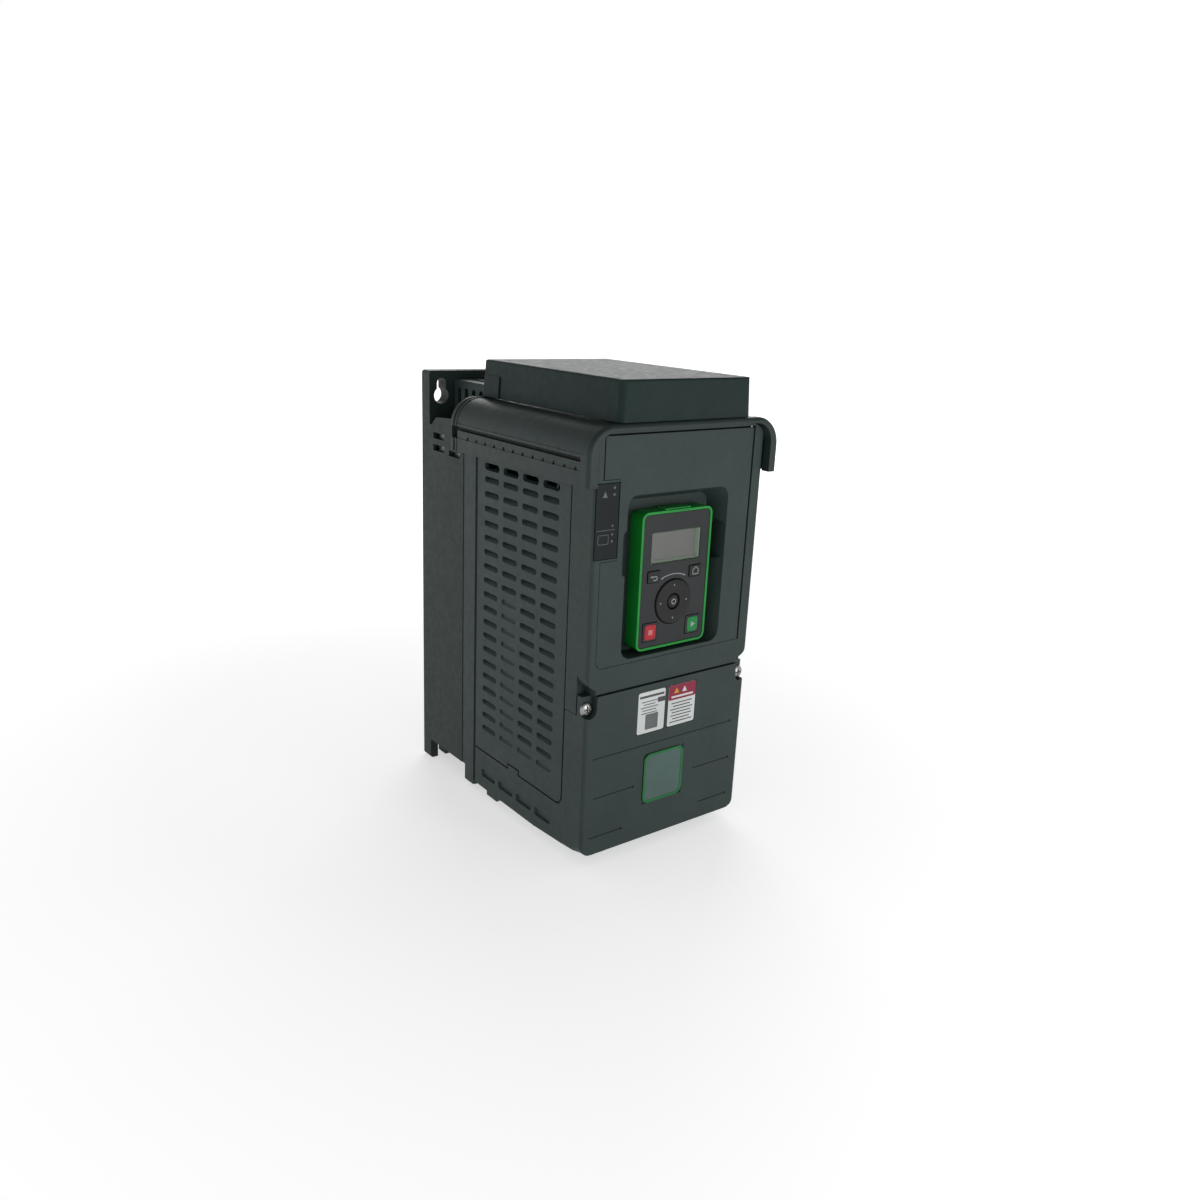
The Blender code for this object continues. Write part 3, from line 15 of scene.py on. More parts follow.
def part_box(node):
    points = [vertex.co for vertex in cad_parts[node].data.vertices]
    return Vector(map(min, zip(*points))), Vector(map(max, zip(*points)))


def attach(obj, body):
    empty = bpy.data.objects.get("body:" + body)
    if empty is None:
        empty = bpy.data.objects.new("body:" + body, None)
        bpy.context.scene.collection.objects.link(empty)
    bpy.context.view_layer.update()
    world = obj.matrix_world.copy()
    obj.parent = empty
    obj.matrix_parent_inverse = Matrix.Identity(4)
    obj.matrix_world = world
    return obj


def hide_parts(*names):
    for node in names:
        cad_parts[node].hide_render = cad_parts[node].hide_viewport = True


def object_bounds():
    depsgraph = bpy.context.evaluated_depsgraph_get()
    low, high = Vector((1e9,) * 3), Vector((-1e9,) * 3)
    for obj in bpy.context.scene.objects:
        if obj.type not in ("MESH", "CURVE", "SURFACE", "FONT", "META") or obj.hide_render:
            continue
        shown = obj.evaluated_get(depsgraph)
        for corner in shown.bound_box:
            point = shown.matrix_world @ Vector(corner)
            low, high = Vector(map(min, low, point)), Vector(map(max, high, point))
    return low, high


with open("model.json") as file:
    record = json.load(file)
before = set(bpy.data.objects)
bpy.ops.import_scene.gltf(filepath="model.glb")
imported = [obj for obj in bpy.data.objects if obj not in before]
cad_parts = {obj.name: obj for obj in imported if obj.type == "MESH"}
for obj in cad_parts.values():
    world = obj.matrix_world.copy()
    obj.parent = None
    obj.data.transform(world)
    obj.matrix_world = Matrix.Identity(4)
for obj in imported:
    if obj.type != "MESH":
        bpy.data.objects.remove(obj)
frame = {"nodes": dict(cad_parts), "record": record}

MM = 0.001
GAP = 0.3
CAD_BOX = [list(corner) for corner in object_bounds()]
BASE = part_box("terminal_cover")[0].z / MM


# ---------------- frame and meshes


class Box:
    """A CAD node's sides at rest, and the middle of its front as (x, z)."""

    def __init__(self, node):
        low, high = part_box(node)
        self.left, self.front, self.low = low.x / MM, low.y / MM, low.z / MM - BASE
        self.right, self.back, self.top = high.x / MM, high.y / MM, high.z / MM - BASE
        self.centre = ((self.left + self.right) / 2, (self.low + self.top) / 2)


BODY_OF = {node: body for body, nodes in frame["record"]["behaviour"]["bodies"].items() for node in nodes}


def cad_mesh(node):
    """A clean mesh of a CAD node, with its flat faces whole."""
    data = frame["nodes"][node].data
    bm = bmesh.new()
    verts = [bm.verts.new((v.co.x / MM, v.co.y / MM, v.co.z / MM - BASE)) for v in data.vertices]
    for polygon in data.polygons:
        bm.faces.new([verts[i] for i in polygon.vertices])
    bmesh.ops.remove_doubles(bm, verts=bm.verts, dist=0.002)
    return bm


def linked(name, data):
    made = bpy.data.objects.new(name, data)
    bpy.context.scene.collection.objects.link(made)
    return made


def object_from(bm, name):
    """Turn a bmesh in the drive's millimetres into an object in metres."""
    bmesh.ops.translate(bm, vec=(0.0, 0.0, BASE), verts=bm.verts)
    bmesh.ops.scale(bm, vec=(MM, MM, MM), verts=bm.verts)
    mesh = bpy.data.meshes.new(name)
    bm.to_mesh(mesh)
    bm.free()
    return linked(name, mesh)


def spatial(axis, across, up, along):
    """A point given by two plane coordinates and its place along an axis."""
    if axis == "X":
        return (along, across, up)
    if axis == "Y":
        return (across, along, up)
    return (across, up, along)


def add_loft(bm, axis, sections):
    """A closed solid through outlines of equal length, each at its own place along an axis."""
    rings = []
    for along, outline in sections:
        rings.append([bm.verts.new(spatial(axis, across, up, along)) for across, up in outline])
    count = len(rings[0])
    faces = [bm.faces.new(rings[0]), bm.faces.new(rings[-1])]
    for lower, upper in zip(rings, rings[1:]):
        for i in range(count):
            j = (i + 1) % count
            faces.append(bm.faces.new((lower[i], lower[j], upper[j], upper[i])))
    bmesh.ops.recalc_face_normals(bm, faces=faces)


def loft(name, axis, sections):
    """A lofted solid as an object."""
    bm = bmesh.new()
    add_loft(bm, axis, sections)
    return object_from(bm, name)


def joined_rings(name, rings):
    """An object whose rings of points each join the next, and the last joins the first."""
    bm = bmesh.new()
    verts = [[bm.verts.new(point) for point in ring] for ring in rings]
    for here, beside in zip(verts, verts[1:] + verts[:1]):
        for i in range(len(here)):
            j = (i + 1) % len(here)
            bm.faces.new((here[i], here[j], beside[j], beside[i]))
    bmesh.ops.recalc_face_normals(bm, faces=bm.faces)
    return object_from(bm, name)


def turned(name, centre, profile, segments):
    """A closed profile of (radius, y) points that stays clear of its axis, turned about it."""
    rings = []
    for k in range(segments):
        turn = math.tau * k / segments
        across, up = math.cos(turn), math.sin(turn)
        rings.append([(centre[0] + radius * across, y, centre[1] + radius * up) for radius, y in profile])
    return joined_rings(name, rings)


def arc(centre, radius, start, end, steps):
    """Points on an arc between two angles in degrees."""
    points = []
    for i in range(steps + 1):
        turn = math.radians(start + (end - start) * i / steps)
        points.append((centre[0] + radius * math.cos(turn), centre[1] + radius * math.sin(turn)))
    return points


def circle(centre, radius, segments=32):
    return arc(centre, radius, 0.0, 360.0, segments)[:-1]


def rounded(left, right, bottom, top, radius, steps=5):
    """A rectangle with round corners."""
    outline = arc((right - radius, top - radius), radius, 0.0, 90.0, steps)
    outline += arc((left + radius, top - radius), radius, 90.0, 180.0, steps)
    outline += arc((left + radius, bottom + radius), radius, 180.0, 270.0, steps)
    outline += arc((right - radius, bottom + radius), radius, 270.0, 360.0, steps)
    return outline


def stroke(start, end, width):
    """A thin rectangle along a line."""
    along = (Vector(end) - Vector(start)).normalized() * (width / 2)
    side = Vector((-along.y, along.x))
    first = Vector(start) - along
    last = Vector(end) + along
    return [tuple(p) for p in (first - side, last - side, last + side, first + side)]


def mirrored(outline):
    return [(-across, up) for across, up in reversed(outline)]


def sided(outline, side):
    return outline if side > 0 else mirrored(outline)


def slab(side, inner, outer, front, back, low, top):
    """Corners of a box on one side of the drive, between two distances from its middle."""
    left, right = sorted((side * inner, side * outer))
    return (left, front, low), (right, back, top)


def tool(axis, outlines, start, end):
    """Prisms of several outlines as one cutter."""
    bm = bmesh.new()
    for outline in outlines:
        add_loft(bm, axis, ((start, outline), (end, outline)))
    return object_from(bm, "tool")


def box_tool(corners):
    """Boxes between pairs of corners as one cutter."""
    bm = bmesh.new()
    for low, high in corners:
        outline = ((low[0], low[1]), (high[0], low[1]), (high[0], high[1]), (low[0], high[1]))
        add_loft(bm, "Z", ((low[2], outline), (high[2], outline)))
    return object_from(bm, "tool")


def bake_modifiers(obj):
    """Replace a piece's modifiers by their result."""
    bpy.context.view_layer.update()
    graph = bpy.context.evaluated_depsgraph_get()
    mesh = bpy.data.meshes.new_from_object(obj.evaluated_get(graph))
    obj.modifiers.clear()
    obj.data = mesh


def carve(obj, cutter, operation="DIFFERENCE"):
    """Cut a tool from a piece, or fuse it to the piece, and throw the tool away."""
    boolean = obj.modifiers.new("carve", "BOOLEAN")
    boolean.operation = operation
    boolean.solver = "EXACT"
    boolean.object = cutter
    bake_modifiers(obj)
    bpy.data.objects.remove(cutter)


def fuse(obj, cutter):
    carve(obj, cutter, "UNION")


def tidy_mesh(obj):
    """Merge stray points and make each flat face whole again."""
    bm = bmesh.new()
    bm.from_mesh(obj.data)
    bmesh.ops.remove_doubles(bm, verts=bm.verts, dist=0.02 * MM)
    bmesh.ops.dissolve_degenerate(bm, edges=bm.edges, dist=0.01 * MM)
    bmesh.ops.dissolve_limit(
        bm, angle_limit=math.radians(0.4), use_dissolve_boundaries=False, verts=bm.verts, edges=bm.edges,
    )
    bm.to_mesh(obj.data)
    bm.free()


def in_drive(point):
    """A mesh point in metres as the drive's millimetres."""
    return Vector((point.x / MM, point.y / MM, point.z / MM - BASE))


def round_edges(obj, chosen, radius, segments=4):
    """Round the edges whose two ends both pass a test."""
    bm = bmesh.new()
    bm.from_mesh(obj.data)
    edges = []
    for edge in bm.edges:
        ends = [in_drive(v.co) for v in edge.verts]
        if chosen(*ends) and len(edge.link_faces) == 2 and edge.calc_face_angle() > math.radians(25):
            edges.append(edge)
    bmesh.ops.bevel(
        bm, geom=edges, offset=radius * MM, segments=segments, profile=0.5, affect="EDGES",
        clamp_overlap=True,
    )
    bm.to_mesh(obj.data)
    bm.free()


def soften(obj, width, segments=2):
    """Give every edge a small radius, with even shading on the flat faces."""
    bevel = obj.modifiers.new("soft_edges", "BEVEL")
    bevel.width = width * MM
    bevel.segments = segments
    bevel.limit_method = "ANGLE"
    bevel.angle_limit = math.radians(32)
    bevel.use_clamp_overlap = True
    # Bevel faces take the second material where there is one, the painted edge highlight.
    bevel.material = 1 if len(obj.data.materials) > 1 else -1
    obj.data.shade_smooth()
    normals = obj.modifiers.new("even_normals", "WEIGHTED_NORMAL")
    normals.keep_sharp = False


def put(obj, skins, body, nodes=()):
    """Give a piece its materials, its body and the CAD nodes it stands for."""
    obj.data.materials.clear()
    for skin in skins:
        obj.data.materials.append(skin)
    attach(obj, body)
    if nodes:
        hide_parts(*nodes)


def add_boxes(name, corners, skins, node):
    """A piece made of boxes that rides with one CAD node."""
    piece = box_tool(corners)
    piece.name = name
    put(piece, skins, BODY_OF[node])
    return piece


def copy_of(node):
    """A piece in the shape of a CAD node, ready to be worked on."""
    return object_from(cad_mesh(node), f"{node}_finished")


def finish(obj, node, skins, width, segments=2):
    """Tidy a piece that stands for a CAD node, dress it and soften its edges."""
    tidy_mesh(obj)
    put(obj, skins, BODY_OF[node], (node,))
    soften(obj, width, segments)


def plain(node, skins, width, segments=2):
    """A CAD node in its own shape, dressed and softened."""
    finish(copy_of(node), node, skins, width, segments)


# ---------------- materials


class Graph:
    """Short calls for building a material's nodes."""

    def __init__(self, name):
        self.material = bpy.data.materials.new(name)
        self.material.use_nodes = True
        self.tree = self.material.node_tree
        self.shader = self.tree.nodes["Principled BSDF"]
        self.place = self.add("ShaderNodeTexCoord").outputs["Object"]

    def add(self, kind, **settings):
        node = self.tree.nodes.new(kind)
        for key, value in settings.items():
            setattr(node, key, value)
        return node

    def link(self, start, end):
        self.tree.links.new(start, end)

    def stretched(self, scale):
        """Object coordinates scaled unevenly."""
        mapping = self.add("ShaderNodeMapping")
        mapping.inputs["Scale"].default_value = scale
        self.link(self.place, mapping.inputs["Vector"])
        return mapping.outputs["Vector"]

    def noise(self, scale, detail=3.0, rough=0.5, place=None):
        node = self.add("ShaderNodeTexNoise")
        node.inputs["Scale"].default_value = scale
        node.inputs["Detail"].default_value = detail
        node.inputs["Roughness"].default_value = rough
        self.link(place or self.place, node.inputs["Vector"])
        return node.outputs["Fac"]

    def ramp(self, value, stops):
        """A colour ramp with (position, colour) stops."""
        node = self.add("ShaderNodeValToRGB")
        elements = node.color_ramp.elements
        while len(elements) < len(stops):
            elements.new(0.5)
        for element, (position, colour) in zip(elements, stops):
            element.position = position
            element.color = colour
        self.link(value, node.inputs["Fac"])
        return node.outputs["Color"]

    def remap(self, value, low, high, start=0.3, end=0.7):
        node = self.add("ShaderNodeMapRange")
        node.inputs["From Min"].default_value = start
        node.inputs["From Max"].default_value = end
        node.inputs["To Min"].default_value = low
        node.inputs["To Max"].default_value = high
        self.link(value, node.inputs["Value"])
        return node.outputs["Result"]

    def bump(self, height, strength, distance, normal=None):
        node = self.add("ShaderNodeBump")
        node.inputs["Strength"].default_value = strength
        node.inputs["Distance"].default_value = distance
        self.link(height, node.inputs["Height"])
        if normal:
            self.link(normal, node.inputs["Normal"])
        return node.outputs["Normal"]

    def set(self, socket, value):
        self.shader.inputs[socket].default_value = value

    def drive(self, socket, output):
        self.link(output, self.shader.inputs[socket])


def shade(colour, factor):
    return tuple(channel * factor for channel in colour[:3]) + (1.0,)


def plastic(name, colour, rough, grain=1900.0, depth=0.00004, spread=0.10, specular=0.22):
    """Moulded plastic: slow colour drift, uneven gloss and a fine grain."""
    g = Graph(name)
    drift = g.noise(34.0, 4.0, 0.6)
    stops = ((0.30, 1.0 - spread), (0.50, 1.0), (0.72, 1.0 + spread))
    g.drive("Base Color", g.ramp(drift, [(place, shade(colour, factor)) for place, factor in stops]))
    g.drive("Roughness", g.remap(g.noise(210.0, 5.0, 0.65), rough - 0.06, rough + 0.08))
    slow = g.bump(g.noise(95.0, 2.0), 0.10, 0.00008)
    g.drive("Normal", g.bump(g.noise(grain, 2.0, 0.7), 0.30, depth, slow))
    g.set("Specular IOR Level", specular)
    return g.material


def painted_edge_highlight(name, colour, rough):
    """Edges of a moulding with a painted highlight: paler and glossier in patches, standing in for the light
    that their rounding catches.
    """
    g = Graph(name)
    highlight_patches = g.noise(160.0, 5.0, 0.7)
    g.drive("Base Color", g.ramp(highlight_patches, ((0.38, shade(colour, 1.05)), (0.70, shade(colour, 1.7)))))
    g.drive("Roughness", g.remap(highlight_patches, rough, rough - 0.12))
    g.set("Specular IOR Level", 0.3)
    g.drive("Normal", g.bump(g.noise(1900.0, 2.0, 0.7), 0.25, 0.00003))
    return g.material


def metal(name, colour, rough, stretch=(60.0, 1400.0, 60.0), spread=0.18):
    """Metal with fine drawn lines and patches of different gloss."""
    g = Graph(name)
    lines = g.noise(1.0, 4.0, 0.6, g.stretched(stretch))
    patches = g.noise(70.0, 4.0, 0.6)
    g.drive("Base Color", g.ramp(patches, ((0.30, shade(colour, 1.0 - spread)), (0.70, shade(colour, 1.05)))))
    g.drive("Roughness", g.remap(lines, rough - 0.08, rough + 0.14))
    g.drive("Normal", g.bump(lines, 0.20, 0.00003))
    g.set("Metallic", 1.0)
    return g.material


def circuit_green(name):
    """Solder resist over squared copper areas and their edges."""
    g = Graph(name)
    cells = g.add("ShaderNodeTexVoronoi", distance="CHEBYCHEV", feature="F2")
    cells.inputs["Scale"].default_value = 105.0
    cells.inputs["Randomness"].default_value = 0.85
    g.link(g.place, cells.inputs["Vector"])
    g.drive("Base Color", g.ramp(cells.outputs["Distance"], (
        (0.44, (0.008, 0.070, 0.030, 1.0)),
        (0.47, (0.016, 0.120, 0.050, 1.0)),
        (0.56, (0.010, 0.085, 0.036, 1.0)),
    )))
    g.drive("Roughness", g.remap(g.noise(260.0), 0.30, 0.46))
    g.drive("Normal", g.bump(cells.outputs["Distance"], 0.15, 0.00003))
    return g.material


def clear_pane(name):
    """Clear window with a faint haze."""
    g = Graph(name)
    g.set("Base Color", (0.95, 0.97, 0.95, 1.0))
    g.set("Transmission Weight", 1.0)
    g.set("IOR", 1.45)
    g.set("Specular IOR Level", 0.12)
    g.drive("Roughness", g.remap(g.noise(120.0, 4.0), 0.02, 0.07))
    g.drive("Normal", g.bump(g.noise(60.0, 2.0), 0.05, 0.00005))
    return g.material


GREY = (0.0200, 0.0342, 0.0315)
INK = (0.0085, 0.0090, 0.0100)
FACE = (0.0125, 0.0150, 0.0162)
GREEN = (0.0060, 0.2050, 0.0230)

# Grain of the finer surfaces: its scale and its depth in metres.
SATIN = (2600.0, 0.00002)
GLOSS = (2600.0, 0.00001)
FILM_GRAIN = (2800.0, 0.00001)
PRINT_GRAIN = (3200.0, 0.00001)

grey = plastic("drive_grey", GREY, 0.50)
# Each _edge material is a painted highlight on a moulding's rounded edges.
grey_edge = painted_edge_highlight("drive_grey_edge", GREY, 0.46)
# Darker copies of the drive's grey, as painted shade: for the lid, the rear ducts and the roof.
lid_grey_painted_shade = plastic("lid_grey_painted_shade", (0.0085, 0.0205, 0.0185), 0.50, specular=0.13)
lid_edge_painted_shade = painted_edge_highlight("lid_grey_painted_shade_edge", (0.0120, 0.0245, 0.0225), 0.46)
duct_grey_painted_shade = plastic("duct_grey_painted_shade", (0.0140, 0.0240, 0.0218), 0.50, specular=0.18)
roof_grey_painted_shade = plastic("roof_grey_painted_shade", (0.0150, 0.0260, 0.0240), 0.44)
black = plastic("black_plastic_fine", INK, 0.42, spread=0.15)
black_edge = painted_edge_highlight("black_plastic_edge", INK, 0.40)
face_black = plastic("keypad_face_black", FACE, 0.40, *SATIN)
wheel_black = plastic("wheel_black", (0.0065, 0.0066, 0.0072), 0.48, 2600.0, 0.00003)
window_black = plastic("window_black_gloss", (0.0055, 0.0085, 0.0100), 0.30, *GLOSS, 0.10, 0.12)
green = plastic("keypad_green_satin", GREEN, 0.38, 2400.0, 0.00002, 0.12)
green_edge = painted_edge_highlight("keypad_green_edge", (0.012, 0.230, 0.045), 0.34)
key_red = plastic("key_red_satin", (0.330, 0.012, 0.022), 0.44, *SATIN)
key_green = plastic("key_green_satin", (0.004, 0.175, 0.040), 0.42, *SATIN)
print_white = plastic("print_white", (0.270, 0.285, 0.280), 0.55, *PRINT_GRAIN)
stop_print = plastic("print_pale_red", (0.420, 0.150, 0.150), 0.55, *PRINT_GRAIN)
print_dim = plastic("print_dim", (0.100, 0.112, 0.112), 0.55, *PRINT_GRAIN)
paper = plastic("label_film", (0.500, 0.525, 0.520), 0.48, *FILM_GRAIN, 0.05)
paper_ink = plastic("label_ink", (0.060, 0.062, 0.060), 0.55, *FILM_GRAIN)
label_red = plastic("label_red", (0.210, 0.014, 0.040), 0.48, *FILM_GRAIN)
label_yellow = plastic("label_yellow", (0.480, 0.270, 0.012), 0.48, *FILM_GRAIN)
# Near black grey for the painted shade in the hood's wing grooves.
groove_painted_shade = plastic("groove_painted_shade", (0.0070, 0.0115, 0.0105), 0.60)
badge_grey = plastic("badge_grey_fine", (0.058, 0.100, 0.090), 0.36, *SATIN, 0.08)
badge_green = plastic("badge_green_rim", (0.006, 0.120, 0.030), 0.38, *SATIN)
lcd_tint = plastic("lcd_tint", (0.066, 0.066, 0.058), 0.42, *GLOSS, 0.08)
lcd_wall = plastic("lcd_wall", (0.180, 0.400, 0.180), 0.45, *GLOSS)
pane = clear_pane("clear_pane")
steel = metal("bright_zinc", (0.300, 0.300, 0.290), 0.30)
sheet_steel = metal("dull_zinc_sheet", (0.420, 0.425, 0.425), 0.42, (50.0, 50.0, 1200.0))
aluminium = metal("extruded_aluminium", (0.330, 0.340, 0.350), 0.42, (1500.0, 1500.0, 30.0), 0.10)
copper = metal("varnished_copper", (0.420, 0.170, 0.070), 0.34, (50.0, 1600.0, 50.0))
rubber = plastic("soft_rubber", (0.010, 0.010, 0.010), 0.78, 1500.0, 0.00006)
circuit = circuit_green("circuit_board")
terminal_grey = plastic("terminal_grey_moulding", (0.085, 0.092, 0.092), 0.50)
connector_green = plastic("connector_green_moulding", (0.014, 0.130, 0.055), 0.45)
sleeve = plastic("can_sleeve_film", (0.018, 0.028, 0.080), 0.30, 600.0, 0.00002)
tin = metal("solder_tin", (0.600, 0.600, 0.590), 0.28)


# ---------------- casings

shell = Box("front_shell")
cover = Box("terminal_cover")
hood_box = Box("hood")
vent = Box("left_vent_panel")
keypad = Box("keypad_frame")
CASING = (grey, grey_edge)
COVER_SCREWS = ("cover_screw_left", "cover_screw_right")
SIDES = (-1, 1)

# Half the casing's width, the y of the floors of the door's left scoop and recess and of its back, and
# where the lower housing's underside starts to climb and by how much.
SIDE = 65.0
SCOOP_FLOOR = -187.4
RECESS_FLOOR = -186.0
DOOR_BACK = -196.4
BELLY_BACK = -150.0
BELLY_DROP = 0.8

# How far each rim of the hood lies from its front or back edge, and how far it draws in there.
HOOD_FORE = ((0.0, 2.4), (0.3, 1.4), (0.9, 0.6), (1.8, 0.1), (2.8, 0.0), (6.0, 0.0))
HOOD_AFT = ((7.4, 0.45), (7.2, 0.0), (5.9, 0.0), (5.5, 1.1), (3.9, 1.1), (3.5, 0.0), (0.6, 0.0), (0.0, 0.6))

# Steps of the hood's wings: the work, then the depth of both sides below the wing's face, the distances
# from the hood's front and back, and the lower and upper edge above the wing's ledge.
HOOD_WINGS = (
    (fuse, 4.8, 1.4, 8.0, 1.0, -1.5, 9.4),
    (carve, 3.6, -1.0, 8.5, 2.1, 0.0, 7.6),
    (fuse, 3.9, 0.9, 8.0, 7.6, -0.5, 5.0),
    (carve, 1.0, -1.0, 6.5, 7.6, 9.3, 9.8),
)

# Height, left end and right end of each groove in the terminal cover.
COVER_GROOVES = (
    (65.0, -58.4, 55.0), (38.5, -56.4, -26.0), (38.5, 24.6, 55.6), (12.0, -58.3, -34.0), (12.0, 31.6, 56.0),
)


def stadium(middle, height, half, radius):
    """A slot with round ends, as plane points."""
    outline = arc((middle + half - radius, height), radius, -90.0, 90.0, 6)
    return outline + arc((middle - half + radius, height), radius, 90.0, 270.0, 6)


def louvre_tool(side, slots):
    """Slots in a side wall whose floors climb inwards to a slit under their top edges."""
    bm = bmesh.new()
    for y, z, half, height, slit, depth in slots:
        mouth = stadium(y, z - 0.12 * (height - slit), half, 0.56 * height - 0.06 * slit)
        throat = stadium(y, z + (height - slit) * 0.56, half - 0.3, slit / 2)
        add_loft(bm, "X", ((side * (SIDE + 0.5), mouth), (side * (SIDE - depth), throat)))
    return object_from(bm, "tool")


def slot_columns():
    """Middles of the four slot columns, evenly spread along a vent panel."""
    first = vent.back - 18.9
    return [first - 21.95 * i for i in range(4)]


def louvres(box):
    """Slots of a vent panel: some low ones are blind, and the top row is open."""
    slots = []
    for column, y in enumerate(slot_columns()):
        for row in range(19):
            blind = (column == 1 and row < 11) or (column > 1 and row == 0)
            slit, depth = (2.2, 1.1) if blind else (1.3, 2.8)
            slots.append((y, box.low + 18.3 + 9.52 * row, 8.6, 4.0, slit, depth))
        slots.append((y, box.top - 23.4, 8.7, 4.8, 3.6, 2.8))
    return slots


def panel_outline(box, inset, back_inset):
    """Vent panel as (y, z), drawn in from its edges: one round corner, and a notch at the foot."""
    foot, nose, rear = box.low + inset, box.front + inset, box.back - back_inset
    left, right = vent.back - 56.4 - inset, vent.back - 43.6 + inset
    outline = [(rear, foot), (rear, box.top), (nose, box.top)]
    outline += arc((nose + 5.6, foot + 5.6), 5.6, 180.0, 270.0, 10)
    return outline + [(left, foot), (left, foot + 3.4), (right, foot + 3.4), (right, foot)]


def vent_panels():
    """Side panels with rows of climbing louvres and a stepped border."""
    for side, node in zip(SIDES, ("left_vent_panel", "right_vent_panel")):
        box = Box(node)
        outer, inner = sorted((box.left, box.right), key=abs, reverse=True)
        whole = panel_outline(box, 0.0, 0.0)
        raised = panel_outline(box, 0.75, 1.7)
        step = outer - side * 1.5
        sections = ((inner, whole), (step, whole), (step, raised), (outer, raised))
        panel = loft(f"{node}_finished", "X", sections)
        carve(panel, louvre_tool(side, louvres(box)))
        seam = slab(side, 63.5, 67.0, box.back - 1.7, box.back + 1.0, box.low - 1.0, box.top + 1.0)
        carve(panel, box_tool([seam]))
        finish(panel, node, CASING, 0.25)


def arch(half, top, radius):
    """Right foot of an inverted U, over the roof, to its left foot."""
    right = [(half, hood_box.low)] + arc((half - radius, top - radius), radius, 0.0, 90.0, 14)
    return right + mirrored(right)


def hood_sections():
    """Outlines of the hood from front to back: a proud rim, a thin skin and a double rim line."""
    half, top, radius = hood_box.right, hood_box.top, 17.5
    rim = arch(66.5, 261.6, 12.4)
    skin = arch(half - 2.5, top - 2.5, radius - 2.5)
    stations = [(hood_box.front + far, inset, rim) for far, inset in HOOD_FORE]
    stations.append((hood_box.front + 6.2, 0.45, skin))
    stations += [(hood_box.back - far, inset, skin) for far, inset in HOOD_AFT]
    sections = []
    for y, inset, inner in stations:
        sections.append((y, arch(half - inset, top - inset, radius - inset) + inner[::-1]))
    return sections


def hood():
    """Roof with proud rims, a grille, and a groove with notches in each wing, darkened by strips of painted
    shade.
    """
    half, front, back, top = hood_box.right, hood_box.front, hood_box.back, hood_box.top
    piece = loft("hood_finished", "Y", hood_sections())
    fuse(piece, box_tool([((-60.0, back - 2.0, 253.0), (60.0, back, top - 0.5))]))
    grille = []
    for i in range(12):
        y = back - 16.0 - 10.0 * i
        grille.append(((-42.0, y - 3.4, top - 5.0), (42.0, y + 3.4, top + 1.0)))
    carve(piece, box_tool(grille))
    ledge = hood_box.low + 8.5
    painted_shade_strips = []
    for side in SIDES:
        for work, inner, outer, fore, aft, low, high in HOOD_WINGS:
            step = slab(side, half - inner, half - outer, front + fore, back - aft, ledge + low, ledge + high)
            work(piece, box_tool([step]))
        notches = []
        for i in range(12):
            y = -74.3 - 10.6 * i
            foot, head = ledge - 0.1, ledge + 1.9
            notches.append([(y - 1.5, foot), (y + 1.5, foot), (y + 0.6, head), (y - 0.6, head)])
        carve(piece, tool("X", notches, side * (half - 1.6), side * (half + 1.0)))
        # Very dark strips along each groove, as painted shade.
        for inner, outer, high in ((3.5, 1.2, 5.05), (3.65, 3.3, 7.5)):
            low, high = ledge + 4.95, ledge + high
            painted_shade_strips.append(slab(side, half - inner, half - outer, front + 8.8, back - 8.0, low, high))
    add_boxes("hood_groove_painted_shade_strips", painted_shade_strips, (groove_painted_shade,), "hood")
    # The roof takes a darker copy of the grey, as painted shade.
    finish(piece, "hood", (roof_grey_painted_shade, grey_edge), 0.22)


def top_cover():
    """Drip cover with soft corners, a clip line near each back corner and walls that lean in."""
    piece = copy_of("top_cover")
    box = Box("top_cover")
    tidy_mesh(piece)
    edge = box.right - 0.8
    upright = arc((edge - 4.0, box.front + 4.0), 4.0, 0.0, -90.0, 8) + [(edge + 2.0, box.front - 1.0)]
    flank = arc((edge - 1.6, box.top - 1.6), 1.6, 0.0, 90.0, 8) + [(edge + 2.0, box.top + 1.0)]
    for side in SIDES:
        carve(piece, tool("Z", [sided(upright, side)], box.low - 1.0, box.top + 1.0))
        carve(piece, tool("Y", [sided(flank, side)], box.front - 1.0, box.back + 1.0))
    for end, turn, start in ((box.front, 1.0, 180.0), (box.back, -1.0, 0.0)):
        brow = arc((end + turn * 1.6, box.top - 1.6), 1.6, start, 90.0, 8) + [(end - turn, box.top + 1.0)]
        carve(piece, tool("X", [brow], -60.0, 60.0))
    carve(piece, box_tool([slab(side, 49.9, 52.0, -77.0, -75.7, 264.0, 279.0) for side in SIDES]))
    for vert in piece.data.vertices:
        place = in_drive(vert.co)
        rise = (place.z - box.low) / (box.top - box.low)
        vert.co.x *= 1.0 - 0.022 * rise
        vert.co.z -= 0.01 * MM * rise
        vert.co.y += 0.8 * MM * rise * (box.back - place.y) / (box.back - box.front)
    # The lid takes a darker copy of the grey and its edge, as painted shade.
    finish(piece, "top_cover", (lid_grey_painted_shade, lid_edge_painted_shade), 0.35)


def upright_corner(a, b):
    """Whether an edge is one of the front's two upright corners."""
    return all(abs(abs(p.x) - SIDE) < 0.05 and abs(p.y - shell.front) < 0.05 for p in (a, b))


